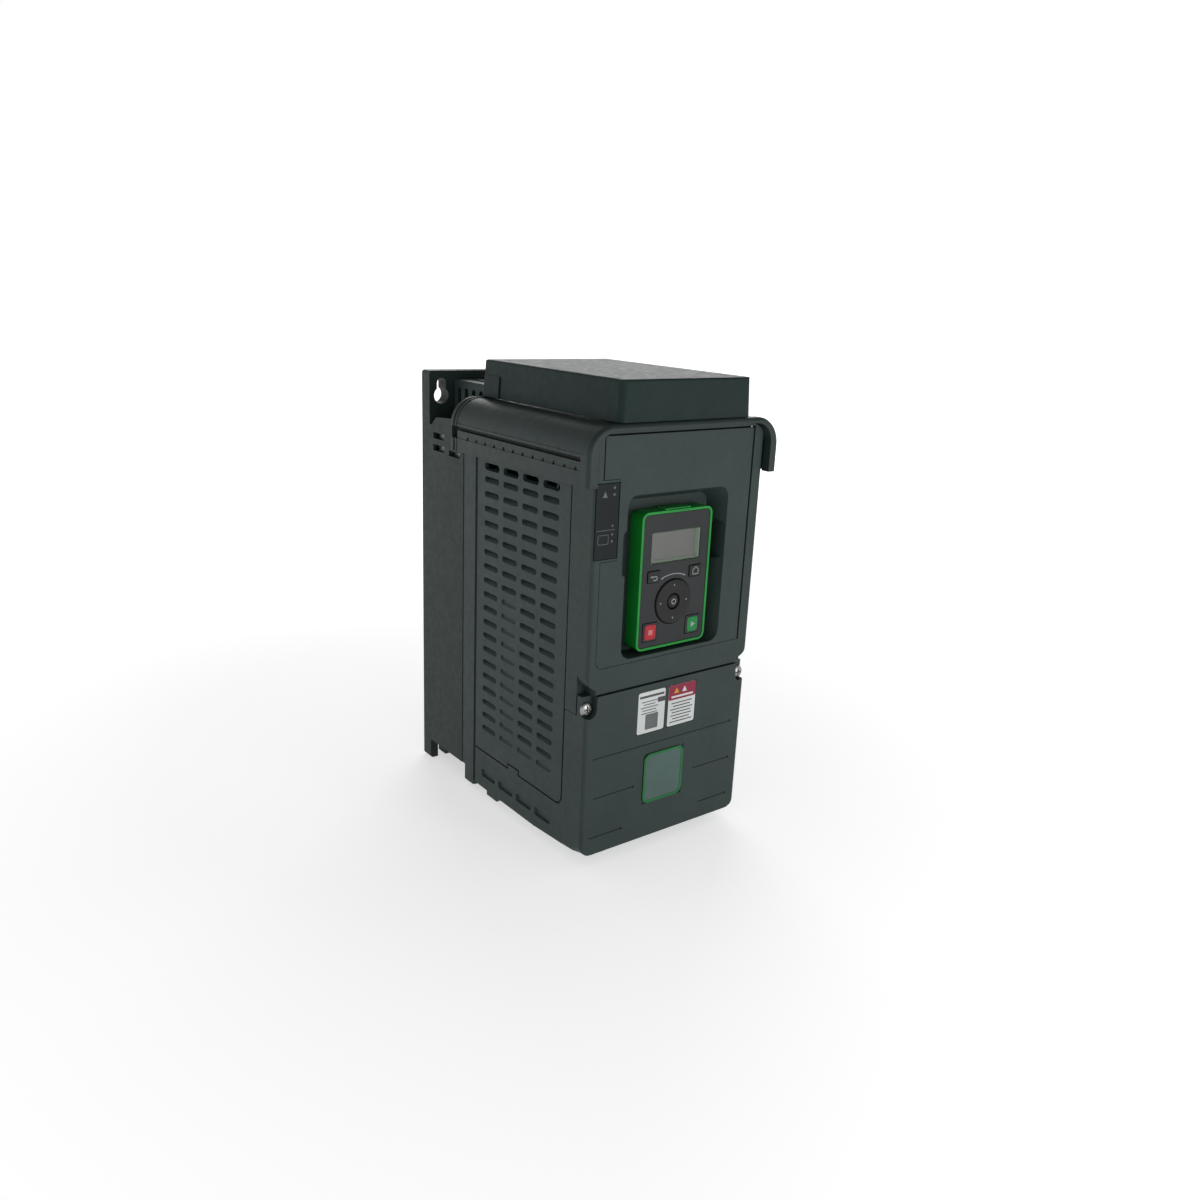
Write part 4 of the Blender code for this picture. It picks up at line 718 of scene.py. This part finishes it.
def front_shell():
    """Front frame with round upright corners, a soft lower lip and a strip behind the gap over the door."""
    piece = copy_of("front_shell")
    tidy_mesh(piece)

    def lower_lip(a, b):
        lip = cover.top + GAP
        return all(abs(p.z - lip) < 0.1 and abs(p.y - shell.front) < 0.05 and abs(p.x) < 60.0 for p in (a, b))

    round_edges(piece, upright_corner, 3.0, 6)
    round_edges(piece, lower_lip, 2.4, 5)
    corner = [(-59.9, 121.9), (-56.6, 121.9), (-59.9, 126.7)]
    fuse(piece, tool("Y", [corner], shell.front + 0.05, shell.front + 2.4))
    strip = ((-59.5, shell.front + 4.0, 256.6), (58.5, shell.front + 5.0, 261.0))
    add_boxes("door_gap_backing", [strip], (black,), "front_shell")
    finish(piece, "front_shell", CASING, 0.30)


def front_door():
    """Door whose keypad recess has soft, dished edges and a black sheet of painted shade on the floor of each
    finger scoop.
    """
    piece = copy_of("front_door")
    tidy_mesh(piece)

    def in_recess(a, b):
        return all(-42.0 < p.x < 38.5 and 124.0 < p.z < 225.0 for p in (a, b))

    def recess_rim(a, b):
        return in_recess(a, b) and max(abs(a.y - shell.front), abs(b.y - shell.front)) < 0.05

    def recess_foot(a, b):
        deep = max(abs(a.y - RECESS_FLOOR), abs(b.y - RECESS_FLOOR)) < 0.05
        return in_recess(a, b) and deep and abs(a.x) > 9.0

    door = Box("front_door")
    for vert in piece.data.vertices:
        place = in_drive(vert.co)
        if place.z > door.top - 6.5 and place.y < shell.front + 5.0:
            vert.co.z -= 0.8 * MM * (1.0 if place.z > door.top - 0.1 else 0.5)
        if place.x < door.left + 0.1 and place.z > 230.0:
            vert.co.x += 0.5 * MM
    scoop = rounded(-43.4, -36.0, 176.5, 203.5, 3.0, 5)
    carve(piece, tool("Y", [scoop], shell.front - 1.0, SCOOP_FLOOR))
    round_edges(piece, recess_rim, 2.0, 5)
    round_edges(piece, recess_foot, 1.8, 4)
    # Black sheets on the scoop floors, as painted shade.
    bm = bmesh.new()
    for left, right, floor in ((-43.3, -36.0, SCOOP_FLOOR), (28.5, 37.3, RECESS_FLOOR)):
        outline = rounded(left, right, 177.0, 203.0, 2.9, 5)
        add_loft(bm, "Y", ((floor - 0.4, outline), (floor + 0.05, outline)))
    put(object_from(bm, "scoop_painted_shade_strips"), (black,), BODY_OF["front_door"])
    finish(piece, "front_door", CASING, 0.35)


def corner_fill(side):
    """A wedge that fills a bottom corner of the terminal cover, a hair inside the cover's own faces."""
    edge, low, top = SIDE - 0.03, cover.low + 0.03, cover.low + 12.0
    sections = []
    for y, radius in ((cover.front + 3.0, 7.95), (-190.0, 4.0), (-178.95, 2.2)):
        outline = arc((edge - radius, low + radius), radius, -90.0, 0.0, 8)
        outline += [(edge, top), (63.7, top), (52.0, cover.low + 1.3), (52.0, low)]
        sections.append((y, sided(outline, side)))
    return loft("tool", "Y", sections)


def terminal_cover():
    """Lower cover with round screw wells, filled corners and five thin grooves that each end in a dimple."""
    piece = copy_of("terminal_cover")
    tidy_mesh(piece)

    def bottom_edge(a, b):
        near, far = sorted((a.y, b.y))
        return max(a.z, b.z) < 8.5 and far < cover.front + 2.6 and near < cover.front + 0.05

    fills = []
    wells = []
    holes = []
    for side, node in zip(SIDES, COVER_SCREWS):
        x, z = Box(node).centre
        fills.append(slab(side, 56.0, SIDE, cover.front, -191.0, 90.5, cover.top))
        well = arc((abs(x), z), 5.2, 180.0, 320.0, 14)
        wells.append(sided([(56.8, 120.0)] + well + [(74.0, z - 4.4), (74.0, 120.0)], side))
        holes.append(circle((x, z), 2.4, 20))
    fuse(piece, box_tool(fills))
    for side in SIDES:
        fuse(piece, corner_fill(side))
    tidy_mesh(piece)
    round_edges(piece, upright_corner, 3.0, 6)
    round_edges(piece, bottom_edge, 1.2, 4)
    carve(piece, tool("Y", wells, cover.front - 5.0, -195.4))
    carve(piece, tool("Y", holes, -197.0, -189.0))
    grooves = [stroke((left, z), (right, z), 0.8) for z, left, right in COVER_GROOVES]
    dimples = [circle((right, z), 1.0, 16) for z, left, right in COVER_GROOVES]
    carve(piece, tool("Y", grooves, cover.front - 1.0, cover.front + 0.45))
    carve(piece, tool("Y", dimples, cover.front - 1.0, cover.front + 0.7))
    finish(piece, "terminal_cover", CASING, 0.20)


def belly_rounding(side, front):
    """What rounds off a bottom edge of the lower housing, more towards the front."""
    sections = []
    for y, radius in ((BELLY_BACK, 0.3), (-165.0, 1.2), (front - 1.0, 2.2)):
        low = BELLY_DROP * (y - BELLY_BACK) / (front - BELLY_BACK) - BELLY_DROP
        outline = arc((SIDE - radius, low + radius), radius, -90.0, 0.0, 8)
        outline += [(SIDE + 2.0, low + radius), (SIDE + 2.0, low - 2.0), (SIDE - radius, low - 2.0)]
        sections.append((y, sided(outline, side)))
    return loft("tool", "Y", sections)


def lower_housing():
    """Lower tray with a shallow recess for each skirt slot and an underside that climbs to the front."""
    piece = copy_of("lower_housing")
    box = Box("lower_housing")
    floors = []
    seams = []
    skirts = []
    for side in SIDES:
        bm = bmesh.new()
        for y in slot_columns():
            floors.append(slab(side, 61.4, 64.9, y - 9.6, y + 9.6, 7.2, 14.0))
            mouth = rounded(y - 8.9, y + 8.9, 7.8, 13.3, 1.6, 4)
            throat = rounded(y - 8.2, y + 8.2, 8.5, 13.0, 1.2, 4)
            add_loft(bm, "X", ((side * (SIDE + 1.0), mouth), (side * SIDE, mouth), (side * 63.6, throat)))
        skirts.append(object_from(bm, "tool"))
        seams.append(slab(side, 63.5, 67.0, box.back - 1.6, box.back + 1.0, -10.0, 40.0))
    fuse(piece, box_tool(floors))
    carve(piece, box_tool(seams))
    for cutter in skirts:
        carve(piece, cutter)
    for vert in piece.data.vertices:
        if abs(in_drive(vert.co).y - box.front) < 0.02:
            vert.co.y -= 0.24 * MM
    nose = box.front - 1.0
    belly = [(BELLY_BACK, -BELLY_DROP), (nose, cover.low), (nose, -9.0), (BELLY_BACK, -9.0)]
    carve(piece, tool("X", [belly], -70.0, 70.0))
    for side in SIDES:
        carve(piece, belly_rounding(side, box.front))
    finish(piece, "lower_housing", CASING, 0.15)


def rear_housing():
    """Wall plate and duct walls, with shallow pockets in the plate's back."""
    piece = copy_of("rear_housing")
    pockets = []
    for left, right in ((-58.0, -20.0), (-17.0, 17.0), (20.0, 58.0)):
        for low in (8.0, 62.0, 174.0):
            pockets.append(rounded(left, right, low, low + 50.0, 3.0, 4))
        if left != -17.0:
            pockets.append(rounded(left, right, 116.0, 170.0, 3.0, 4))
    carve(piece, tool("Y", pockets, -0.9, 1.0))
    # The plate and ducts take a darker copy of the grey, as painted shade against the extra light at the
    # rear.
    finish(piece, "rear_housing", (duct_grey_painted_shade, grey_edge), 0.4, 3)


def mid_frame():
    """Mid frame with a black rubber strip in the groove by its front edge, which makes the groove dark."""
    piece = copy_of("mid_frame")
    box = Box("mid_frame")
    front, floor = box.front, box.right - 1.3
    low, top = box.low - 1.0, box.top + 1.0
    grooves = []
    dark_strip = []
    for side in SIDES:
        grooves.append(slab(side, floor, box.right + 1.0, front - 1.0, front + 0.7, low, top))
        dark_strip.append(slab(side, floor, box.right - 0.6, front - 1.9, front + 0.6, -0.5, 247.5))
    carve(piece, box_tool(grooves))
    finish(piece, "mid_frame", CASING, 0.3)
    # A black strip that darkens the groove.
    add_boxes("seam_dark_strip", dark_strip, (rubber,), "mid_frame")


def air_outlet():
    """Air outlet whose side slots have arched tops."""
    piece = copy_of("air_outlet")
    arches = []
    for i in range(4):
        y = -17.5 - 9.5 * i
        arches.append([(y - 2.4, 257.0), (y + 2.4, 257.0)] + arc((y, 264.6), 2.4, 0.0, 180.0, 8))
    for side in SIDES:
        fuse(piece, box_tool([slab(side, 44.2, 46.0, -50.0, -14.5, 256.0, 269.0)]))
        carve(piece, tool("X", arches, side * 43.0, side * 48.0))
    finish(piece, "air_outlet", CASING, 0.3)


# ---------------- keypad

# Radius and depth behind the foremost point, of the two turned keys and a pan head screw.
RING_FRONT = (
    (4.95, 0.9), (5.2, 0.45), (6.0, 0.25), (8.5, 0.42), (10.5, 0.45), (12.4, 0.15), (13.2, 0.0), (13.8, 0.25),
)
OK_FRONT = ((0.02, 0.0), (1.8, 0.05), (3.4, 0.25), (4.15, 0.6), (4.4, 1.2))
SCREW_FRONT = ((0.03, 0.0), (1.6, 0.08), (3.1, 0.4), (4.0, 0.9), (4.35, 1.4), (4.35, 1.8), (1.95, 1.8))

# Depth and half width of each step of a large key's cap.
CAP_STEPS = ((0.0, 3.4), (0.08, 3.9), (0.25, 4.2), (0.5, 4.3))


def flat_print(name, outlines, skin, node, thickness=0.05, depth=0.0):
    """Printed marks as thin films on a node's front, or at a depth behind its foremost point."""
    surface = Box(node).front + depth
    bm = bmesh.new()
    for outline in outlines:
        add_loft(bm, "Y", ((surface - thickness, outline), (surface + 0.02, outline)))
    put(object_from(bm, name), (skin,), BODY_OF[node])


def behind(front, table):
    """A table of radii and depths as the front part of a profile."""
    return [(radius, front + depth) for radius, depth in table]


def keypad_body():
    """Green frame with a tab on top, dark back and face plate."""
    piece = copy_of("keypad_frame")
    tab = ((-9.0, keypad.front + 1.8, keypad.top - 0.5), (11.0, keypad.back - 1.5, keypad.top + 0.8))
    fuse(piece, box_tool([tab]))
    finish(piece, "keypad_frame", (green, green_edge), 0.55, 3)
    plain("keypad_back", (black, black_edge), 0.4)
    plain("keypad_face", (face_black, face_black), 0.15)


def display():
    """Display set deep behind a clear window, with pale walls around it."""
    box = Box("lcd_module")
    window = Box("lcd_window")
    floor = box.back - 0.6
    outer = rounded(box.left, box.right, box.low, box.top, 0.5, 2)
    inner = rounded(window.left + 0.2, window.right - 0.2, window.low + 0.2, window.top - 0.2, 0.4, 2)
    well = loft("lcd_module_finished", "Y", ((window.back + 0.1, outer), (box.back, outer)))
    carve(well, tool("Y", [inner], window.back - 1.0, floor))
    tidy_mesh(well)
    put(well, (lcd_wall, lcd_tint), BODY_OF["lcd_module"], ("lcd_module",))
    for polygon in well.data.polygons:
        if abs(in_drive(polygon.center).y - floor) < 0.05:
            polygon.material_index = 1
    well.data.shade_flat()
    plain("lcd_window", (pane,), 0.1, 1)
    plain("keypad_board", (circuit,), 0.1, 1)


def small_key(node):
    """Plain dark key with soft edges."""
    plain(node, (black, black), 0.45, 3)


def large_key(node, skin):
    """Dark key with a coloured cap that draws in towards a soft front."""
    box = Box(node)
    x, z = box.centre
    base = copy_of(node)
    for vert in base.data.vertices:
        if in_drive(vert.co).y < box.front + 0.05:
            vert.co.y += 0.35 * MM
    finish(base, node, (face_black, face_black), 0.2)
    sections = []
    for depth, half in CAP_STEPS:
        tall = half + 0.5
        sections.append((box.front + depth, rounded(x - half, x + half, z - tall, z + tall, 1.6, 5)))
    cap = loft(f"{node}_cap", "Y", sections)
    put(cap, (skin,), BODY_OF[node])
    cap.data.shade_smooth()


def navigation():
    """Dished ring around a domed key, both turned."""
    ring = Box("nav_ring")
    ok = Box("ok_key")
    radius = (ring.right - ring.left) / 2
    profile = behind(ring.front, RING_FRONT)
    profile += [(radius, ring.front + 0.8), (radius, ring.back), (4.95, ring.back)]
    finish(turned("nav_ring_finished", ring.centre, profile, 72), "nav_ring", (wheel_black,), 0.1, 1)
    profile = behind(ok.front, OK_FRONT)
    profile += [(4.4, ok.back - 0.75), (5.6, ok.back - 0.7), (5.6, ok.back), (0.02, ok.back)]
    finish(turned("ok_key_finished", ring.centre, profile, 48), "ok_key", (wheel_black,), 0.08, 1)
    plain("nav_gimbal", (black,), 0.1, 1)


def arrow_head(tip, turn, size):
    """A small triangle that points along an angle in degrees."""
    points = []
    for angle in (0.0, 140.0, 220.0):
        around = math.radians(turn + angle)
        points.append((tip[0] + size * math.cos(around), tip[1] + size * math.sin(around)))
    return points


def band(centre, radius, start, end, width, steps=12):
    """A strip that follows an arc."""
    outer = arc(centre, radius + width / 2, start, end, steps)
    return outer + arc(centre, radius - width / 2, end, start, steps)


def closed_line(corners, width):
    """Strokes from each corner to the next and back to the first."""
    return [stroke(start, end, width) for start, end in zip(corners, corners[1:] + corners[:1])]


def wheel_marks():
    """A double arrow over the wheel, four small arrows on its ring and a dot on its key."""
    x, z = Box("nav_ring").centre
    curve = band((x - 0.6, z - 6.6), 24.0, 68.0, 112.0, 0.45)
    ends = [arrow_head((x - 9.7, z + 15.5), 202.0, 1.1), arrow_head((x + 8.3, z + 15.6), -22.0, 1.1)]
    flat_print("turn_arrow", [curve, *ends], print_white, "keypad_face")
    arrows = []
    for turn in (0.0, 90.0, 180.0, 270.0):
        around = math.radians(turn)
        arrows.append(arrow_head((x + 10.5 * math.cos(around), z + 10.5 * math.sin(around)), turn, 0.75))
    flat_print("ring_arrows", arrows, print_white, "nav_ring", 0.12, 0.45)
    flat_print("ok_dot", [band((x, z), 1.5, 0.0, 350.0, 0.5, 24)], print_white, "ok_key", 0.08, 0.05)


def key_marks():
    """Plain signs on the four keys: a bent arrow, a house, a square and a triangle."""
    x, z = Box("esc_key").centre
    bent = [stroke((x - 1.6, z + 0.2), (x + 1.2, z + 0.2), 0.5)]
    bent.append(band((x + 1.2, z - 0.9), 1.1, -90.0, 90.0, 0.5))
    bent.append(stroke((x - 0.4, z - 2.0), (x + 1.2, z - 2.0), 0.5))
    bent.append(arrow_head((x - 2.0, z + 0.2), 180.0, 1.2))
    flat_print("back_arrow", bent, print_white, "esc_key")
    x, z = Box("home_key").centre
    corners = [(x - 2.2, z - 2.1), (x + 2.2, z - 2.1), (x + 2.2, z + 0.6), (x, z + 2.6), (x - 2.2, z + 0.6)]
    flat_print("house", closed_line(corners, 0.45), print_white, "home_key")
    x, z = Box("stop_key").centre
    flat_print("stop_square", [rounded(x - 1.6, x + 1.6, z - 1.6, z + 1.6, 0.4, 2)], stop_print, "stop_key")
    x, z = Box("run_key").centre
    triangle = [(x - 1.4, z - 1.9), (x + 2.0, z), (x - 1.4, z + 1.9)]
    flat_print("run_triangle", [triangle], print_white, "run_key")


def status_marks():
    """Lamp dots and plain marks in the dark window."""
    plain("status_window", (window_black, window_black), 0.2)
    left, right = Box("status_window").left, Box("status_window").right
    dots = [circle((right - 3.5, z), 0.75, 16) for z in (229.7, 225.8)]
    dots += [circle((right - 3.9, z), 0.65, 16) for z in (208.0, 203.0, 199.0)]
    flat_print("status_lamps", dots, print_dim, "status_window")
    marks = [[(left + 4.2, 224.4), (left + 7.6, 224.4), (left + 5.9, 228.0)]]
    marks.append(stroke((left + 1.0, 205.7), (right - 2.4, 205.7), 0.3))
    corners = [(left + 2.1, 197.7), (left + 9.3, 197.7), (left + 9.3, 203.0), (left + 2.1, 203.0)]
    marks += closed_line(corners, 0.3)
    flat_print("status_signs", marks, print_dim, "status_window")


# ---------------- labels, screws and fittings

FILM = 0.03
INSETS = (1.0, 2.6, 0.4, 1.8)

# CAD nodes that only get materials and soft edges: the nodes, their skins, the edge width and its segments.
PLAIN_NODES = (
    (("lower_hinge_pin", "upper_hinge_pin", "earth_bar", "network_socket"), (steel,), 0.12, 2),
    (("gland_plate",), (sheet_steel,), 0.2, 2),
    (("cable_grommet_1", "cable_grommet_2", "cable_grommet_3"), (rubber,), 0.3, 2),
    (("heat_sink",), (aluminium,), 0.25, 2),
    (("fan_cartridge", "fan_rotor_left", "fan_rotor_right"), (black, black_edge), 0.25, 2),
    (("inner_fan_frame", "inner_fan_rotor"), (black, black_edge), 0.25, 2),
    (("keypad_socket", "power_module", "rectifier_module"), (black, black_edge), 0.3, 2),
    (("output_relay_1", "output_relay_2"), (black, black_edge), 0.3, 2),
    (("power_board", "control_board"), (circuit,), 0.1, 1),
    (("shield_plate",), (sheet_steel,), 0.2, 2),
    (("choke",), (copper,), 0.5, 2),
    (("power_terminal_block",), (terminal_grey,), 0.3, 2),
    (("control_terminal_block", "relay_terminal_block"), (connector_green,), 0.2, 2),
    (("bus_capacitor_1", "bus_capacitor_2", "bus_capacitor_3", "bus_capacitor_4"), (sleeve,), 0.5, 3),
)


def label_lines(left, right, top, pitch, count, width):
    """Short bars that stand where a label's print would be, from the top down."""
    outlines = []
    for i in range(count):
        inset = INSETS[i % len(INSETS)]
        outlines.append(stroke((left + inset, top - pitch * i), (right - inset, top - pitch * i), width))
    return outlines


def rating_label():
    """Pale label with bars for print and a dim square patch."""
    box = Box("rating_label")
    left, right, top = box.left, box.right, box.top
    plain("rating_label", (paper,), 0.05, 1)
    bars = label_lines(left + 2.0, right - 5.5, top - 6.6, 1.9, 5, 0.55)
    bars.append(stroke((left + 1.8, top - 3.2), (right - 1.8, top - 3.2), 1.5))
    bars.append(stroke((right - 4.4, top - 7.0), (right - 1.2, top - 7.0), 3.2))
    patch = rounded(left + 6.2, left + 16.4, box.low + 2.2, box.low + 12.4, 0.4, 2)
    flat_print("rating_patch", [patch], print_dim, "rating_label", FILM)
    flat_print("rating_print", bars, paper_ink, "rating_label", FILM)


def caution_label():
    """Pale label with a red band, two blank triangles and bars for print."""
    box = Box("caution_label")
    left, right, top = box.left, box.right, box.top
    plain("caution_label", (paper,), 0.05, 1)
    red = rounded(left + 0.05, right - 0.05, top - 10.0, top - 0.05, 1.1, 3)
    flat_print("caution_band", [red], label_red, "caution_label", FILM)
    for name, x, skin in (("yellow", left + 6.4, label_yellow), ("white", left + 13.0, paper)):
        sign = [(x - 2.0, top - 5.6), (x + 2.0, top - 5.6), (x, top - 1.9)]
        flat_print(f"caution_sign_{name}", [sign], skin, "caution_label", FILM, -FILM)
    bars = label_lines(left + 2.0, right - 2.0, top - 12.4, 2.1, 7, 0.7)
    flat_print("caution_print", bars, paper_ink, "caution_label", FILM)
    bar = stroke((left + 3.0, top - 8.0), (right - 3.0, top - 8.0), 1.3)
    flat_print("caution_bar", [bar], paper, "caution_label", FILM, -FILM)


def badge():
    """Badge with a raised green rim around a grey field."""
    box = Box("badge")
    outer = rounded(box.left, box.right, box.low, box.top, 5.0, 8)
    inner = rounded(box.left + 1.7, box.right - 1.7, box.low + 1.7, box.top - 1.7, 3.6, 8)
    tile = loft("badge_finished", "Y", ((box.front + 0.25, outer), (box.back, outer)))
    finish(tile, "badge", (badge_grey,), 0.15)
    rings = []
    for y, outline in ((box.back, outer), (box.front, outer), (box.front, inner), (box.back, inner)):
        rings.append([(x, y, z) for x, z in outline])
    rim = joined_rings("badge_rim", rings)
    put(rim, (badge_green,), BODY_OF["badge"])
    soften(rim, 0.15)


def pan_screw(node):
    """Screw with a domed head and a cross recess."""
    box = Box(node)
    x, z = box.centre
    front, deep = box.front - 1.0, box.front + 1.3
    profile = behind(box.front, SCREW_FRONT) + [(1.95, box.back - 1.0), (1.2, box.back), (0.03, box.back)]
    screw = turned(f"{node}_finished", box.centre, profile, 40)
    for wide, tall in ((2.3, 0.45), (0.45, 2.3)):
        carve(screw, box_tool([((x - wide, front, z - tall), (x + wide, deep, z + tall))]))
    finish(screw, node, (steel,), 0.08, 1)


def plain_parts():
    """Pins, grommets, plates and the working parts behind the covers."""
    for nodes, skins, width, segments in PLAIN_NODES:
        for node in nodes:
            plain(node, skins, width, segments)


# ---------------- inside

# Lower left corner, upper right corner and height of each chip on the control board.
CHIPS = (
    ((-10.0, 176.0), (12.0, 198.0), 1.6), ((-42.0, 182.0), (-30.0, 190.0), 1.5),
    ((-42.0, 150.0), (-28.0, 158.0), 1.5), ((-8.0, 134.0), (6.0, 142.0), 1.8),
    ((22.0, 138.0), (34.0, 146.0), 1.5), ((-44.0, 118.0), (-34.0, 124.0), 1.5),
    ((20.0, 196.0), (34.0, 204.0), 1.5),
)
PLUGS = (((-24.0, 214.0), (2.0, 220.0), 6.5), ((30.0, 222.0), (44.0, 228.0), 5.5))
CANS = ((-44.0, 205.0, 4.0), (-33.0, 205.0, 4.0), (40.0, 180.0, 5.0), (40.0, 165.0, 5.0))
LEG_PITCH = 1.27


def blocks(face, table):
    """Blocks that stand on the board, from their lower left and upper right corners and heights."""
    return [((a[0], face - tall, a[1]), (b[0], face + 0.05, b[1])) for a, b, tall in table]


def chip_legs(face):
    """A row of small legs below and above each chip."""
    legs = []
    for a, b, _ in CHIPS:
        for i in range(int((b[0] - a[0] - 1.0) / LEG_PITCH)):
            x = a[0] + 0.9 + LEG_PITCH * i
            for low, high in ((a[1] - 1.0, a[1] + 0.1), (b[1] - 0.1, b[1] + 1.0)):
                legs.append(((x - 0.25, face - 0.45, low), (x + 0.25, face + 0.02, high)))
    return legs


def resistors(face):
    """Small blocks spread over the board, clear of the chips and of the relays."""
    small = []
    for i in range(11):
        for j in range(4):
            x = -46.0 + 9.0 * i + 1.3 * (j % 2)
            z = 106.0 + 27.0 * j + 3.5 * (i % 3)
            by_relay = 18.0 < x < 52.0 and z < 120.6
            by_chip = any(
                a[0] - 3.0 < x < b[0] + 3.0 and a[1] - 3.0 < z < b[1] + 3.0 for a, b, _ in CHIPS
            )
            if not by_relay and not by_chip:
                small.append(((x - 1.0, face - 0.7, z - 0.6), (x + 1.0, face + 0.02, z + 0.6)))
    return small


def board_parts():
    """Small components on the control board, in front of it and clear of the door."""
    face = Box("control_board").front
    for name, boxes, skin, slot_node in (
        ("board_chips", blocks(face, CHIPS), black, "keypad_socket"),
        ("board_legs", chip_legs(face), tin, "earth_bar"),
        ("board_resistors", resistors(face), black, "keypad_socket"),
        ("board_plugs", blocks(face, PLUGS), paper, "earth_bar"),
    ):
        soften(add_boxes(name, boxes, (skin,), "control_board"), 0.1, 1)
    bm = bmesh.new()
    for x, z, radius in CANS:
        wide, narrow = circle((x, z), radius, 28), circle((x, z), radius - 0.5, 28)
        add_loft(bm, "Y", ((face + 0.02, wide), (face - 7.6, wide), (face - 8.0, narrow)))
    cans = object_from(bm, "board_capacitors")
    put(cans, (sleeve,), BODY_OF["control_board"])
    soften(cans, 0.1, 1)


def screw_heads(name, axis, node, centres, radius, segments, start, end):
    """Round screw heads between two places along an axis."""
    heads = tool(axis, [circle(centre, radius, segments) for centre in centres], start, end)
    heads.name = name
    put(heads, (steel,), BODY_OF[node])
    return heads


def clamp_screws():
    """Screw heads in the terminal blocks."""
    node = "power_terminal_block"
    top = Box(node).top
    centres = [(-42.0 + 14.0 * i, -150.0) for i in range(7)]
    heads = screw_heads("power_clamp_screws", "Z", node, centres, 3.4, 24, top - 0.02, top + 0.7)
    soften(heads, 0.3)
    for node, count in (("control_terminal_block", 16), ("relay_terminal_block", 5)):
        box = Box(node)
        pitch = (box.right - box.left) / count
        centres = [(box.left + pitch * (i + 0.5), box.top - 3.0) for i in range(count)]
        screw_heads(f"{node}_screws", "Y", node, centres, 1.0, 14, box.front - 0.25, box.front + 0.05)


def door_ribs():
    """Stiffening ribs on the back of the door."""
    front, back = DOOR_BACK - 0.05, DOOR_BACK + 1.6
    ribs = [((left, front, 127.0), (left + 1.4, back, 256.0)) for left in (-44.0, 42.6)]
    ribs += [((-42.6, front, z), (42.6, back, z + 1.4)) for z in (236.0, 247.0)]
    soften(add_boxes("door_ribs", ribs, CASING, "front_door"), 0.2)


# ---------------- stage


def pale_floor():
    """Floor material whose glow grows with the distance from the drive, so that its edge can't be seen."""
    g = Graph("pale_floor")
    pale = ((0.3, (0.80, 0.80, 0.80, 1.0)), (0.7, (0.84, 0.84, 0.84, 1.0)))
    g.drive("Base Color", g.ramp(g.noise(1.5, 2.0), pale))
    g.set("Roughness", 0.9)
    g.set("Specular IOR Level", 0.0)
    g.set("Emission Color", (1.0, 1.0, 1.0, 1.0))
    reach = g.add("ShaderNodeVectorMath", operation="LENGTH")
    g.link(g.place, reach.inputs[0])
    g.drive("Emission Strength", g.remap(reach.outputs["Value"], 0.52, 0.96, 0.25, 1.40))
    return g.material


def studio():
    """Pale floor, white surroundings and large soft lights."""
    bm = bmesh.new()
    bmesh.ops.create_grid(bm, x_segments=1, y_segments=1, size=40.0)
    mesh = bpy.data.meshes.new("floor")
    bm.to_mesh(mesh)
    bm.free()
    mesh.materials.append(pale_floor())
    floor = linked("floor", mesh)
    floor.location = (0.0, 0.0, CAD_BOX[0][2] - 0.0005)
    surroundings()
    add_light("front_light", (0.30, -1.15, 0.02), 0.30, 2.3)
    add_light("back_light", (1.15, 1.55, 0.95), 1.5, 14.0)


def surroundings():
    """White all round, and dimmer overhead."""
    world = bpy.data.worlds.new("studio")
    world.use_nodes = True
    tree = world.node_tree
    place = tree.nodes.new("ShaderNodeTexCoord")
    split = tree.nodes.new("ShaderNodeSeparateXYZ")
    fade = tree.nodes.new("ShaderNodeMapRange")
    fade.inputs["From Min"].default_value = 0.23
    fade.inputs["From Max"].default_value = 0.60
    fade.inputs["To Min"].default_value = 1.0
    fade.inputs["To Max"].default_value = 0.28
    tree.links.new(place.outputs["Generated"], split.inputs["Vector"])
    tree.links.new(split.outputs["Z"], fade.inputs["Value"])
    background = tree.nodes["Background"]
    background.inputs["Color"].default_value = (1.0, 1.0, 1.0, 1.0)
    tree.links.new(fade.outputs["Result"], background.inputs["Strength"])
    bpy.context.scene.world = world


def add_light(name, place, size, power):
    """A square soft light that faces the drive."""
    data = bpy.data.lights.new(name, "AREA")
    data.size = size
    data.energy = power
    light = linked(name, data)
    light.location = place
    light.rotation_euler = (-Vector(place)).to_track_quat("-Z", "Y").to_euler()
    light.visible_camera = False


def camera():
    """Left of the front and a little above the drive."""
    data = bpy.data.cameras.new("camera")
    data.lens = 31.10
    data.sensor_width = 36.0
    right = Vector((0.79574, -0.60412, 0.04300)).normalized()
    forward = Vector((0.58898, 0.75535, -0.28733)).normalized()
    up = right.cross(forward).normalized()
    matrix = Matrix((right, up, -forward)).transposed().to_4x4()
    matrix.translation = Vector((-0.40727, -0.64747, 0.20067))
    view = linked("camera", data)
    view.matrix_world = matrix
    bpy.context.scene.camera = view


camera()
studio()
bpy.context.scene.view_settings.view_transform = "Standard"

vent_panels()
hood()
top_cover()
front_shell()
front_door()
terminal_cover()
lower_housing()
rear_housing()
mid_frame()
air_outlet()
keypad_body()
display()
small_key("esc_key")
small_key("home_key")
large_key("stop_key", key_red)
large_key("run_key", key_green)
navigation()
wheel_marks()
key_marks()
status_marks()
rating_label()
caution_label()
badge()
for screw_node in COVER_SCREWS:
    pan_screw(screw_node)
plain_parts()
board_parts()
clamp_screws()
door_ribs()

bpy.context.view_layer.update()
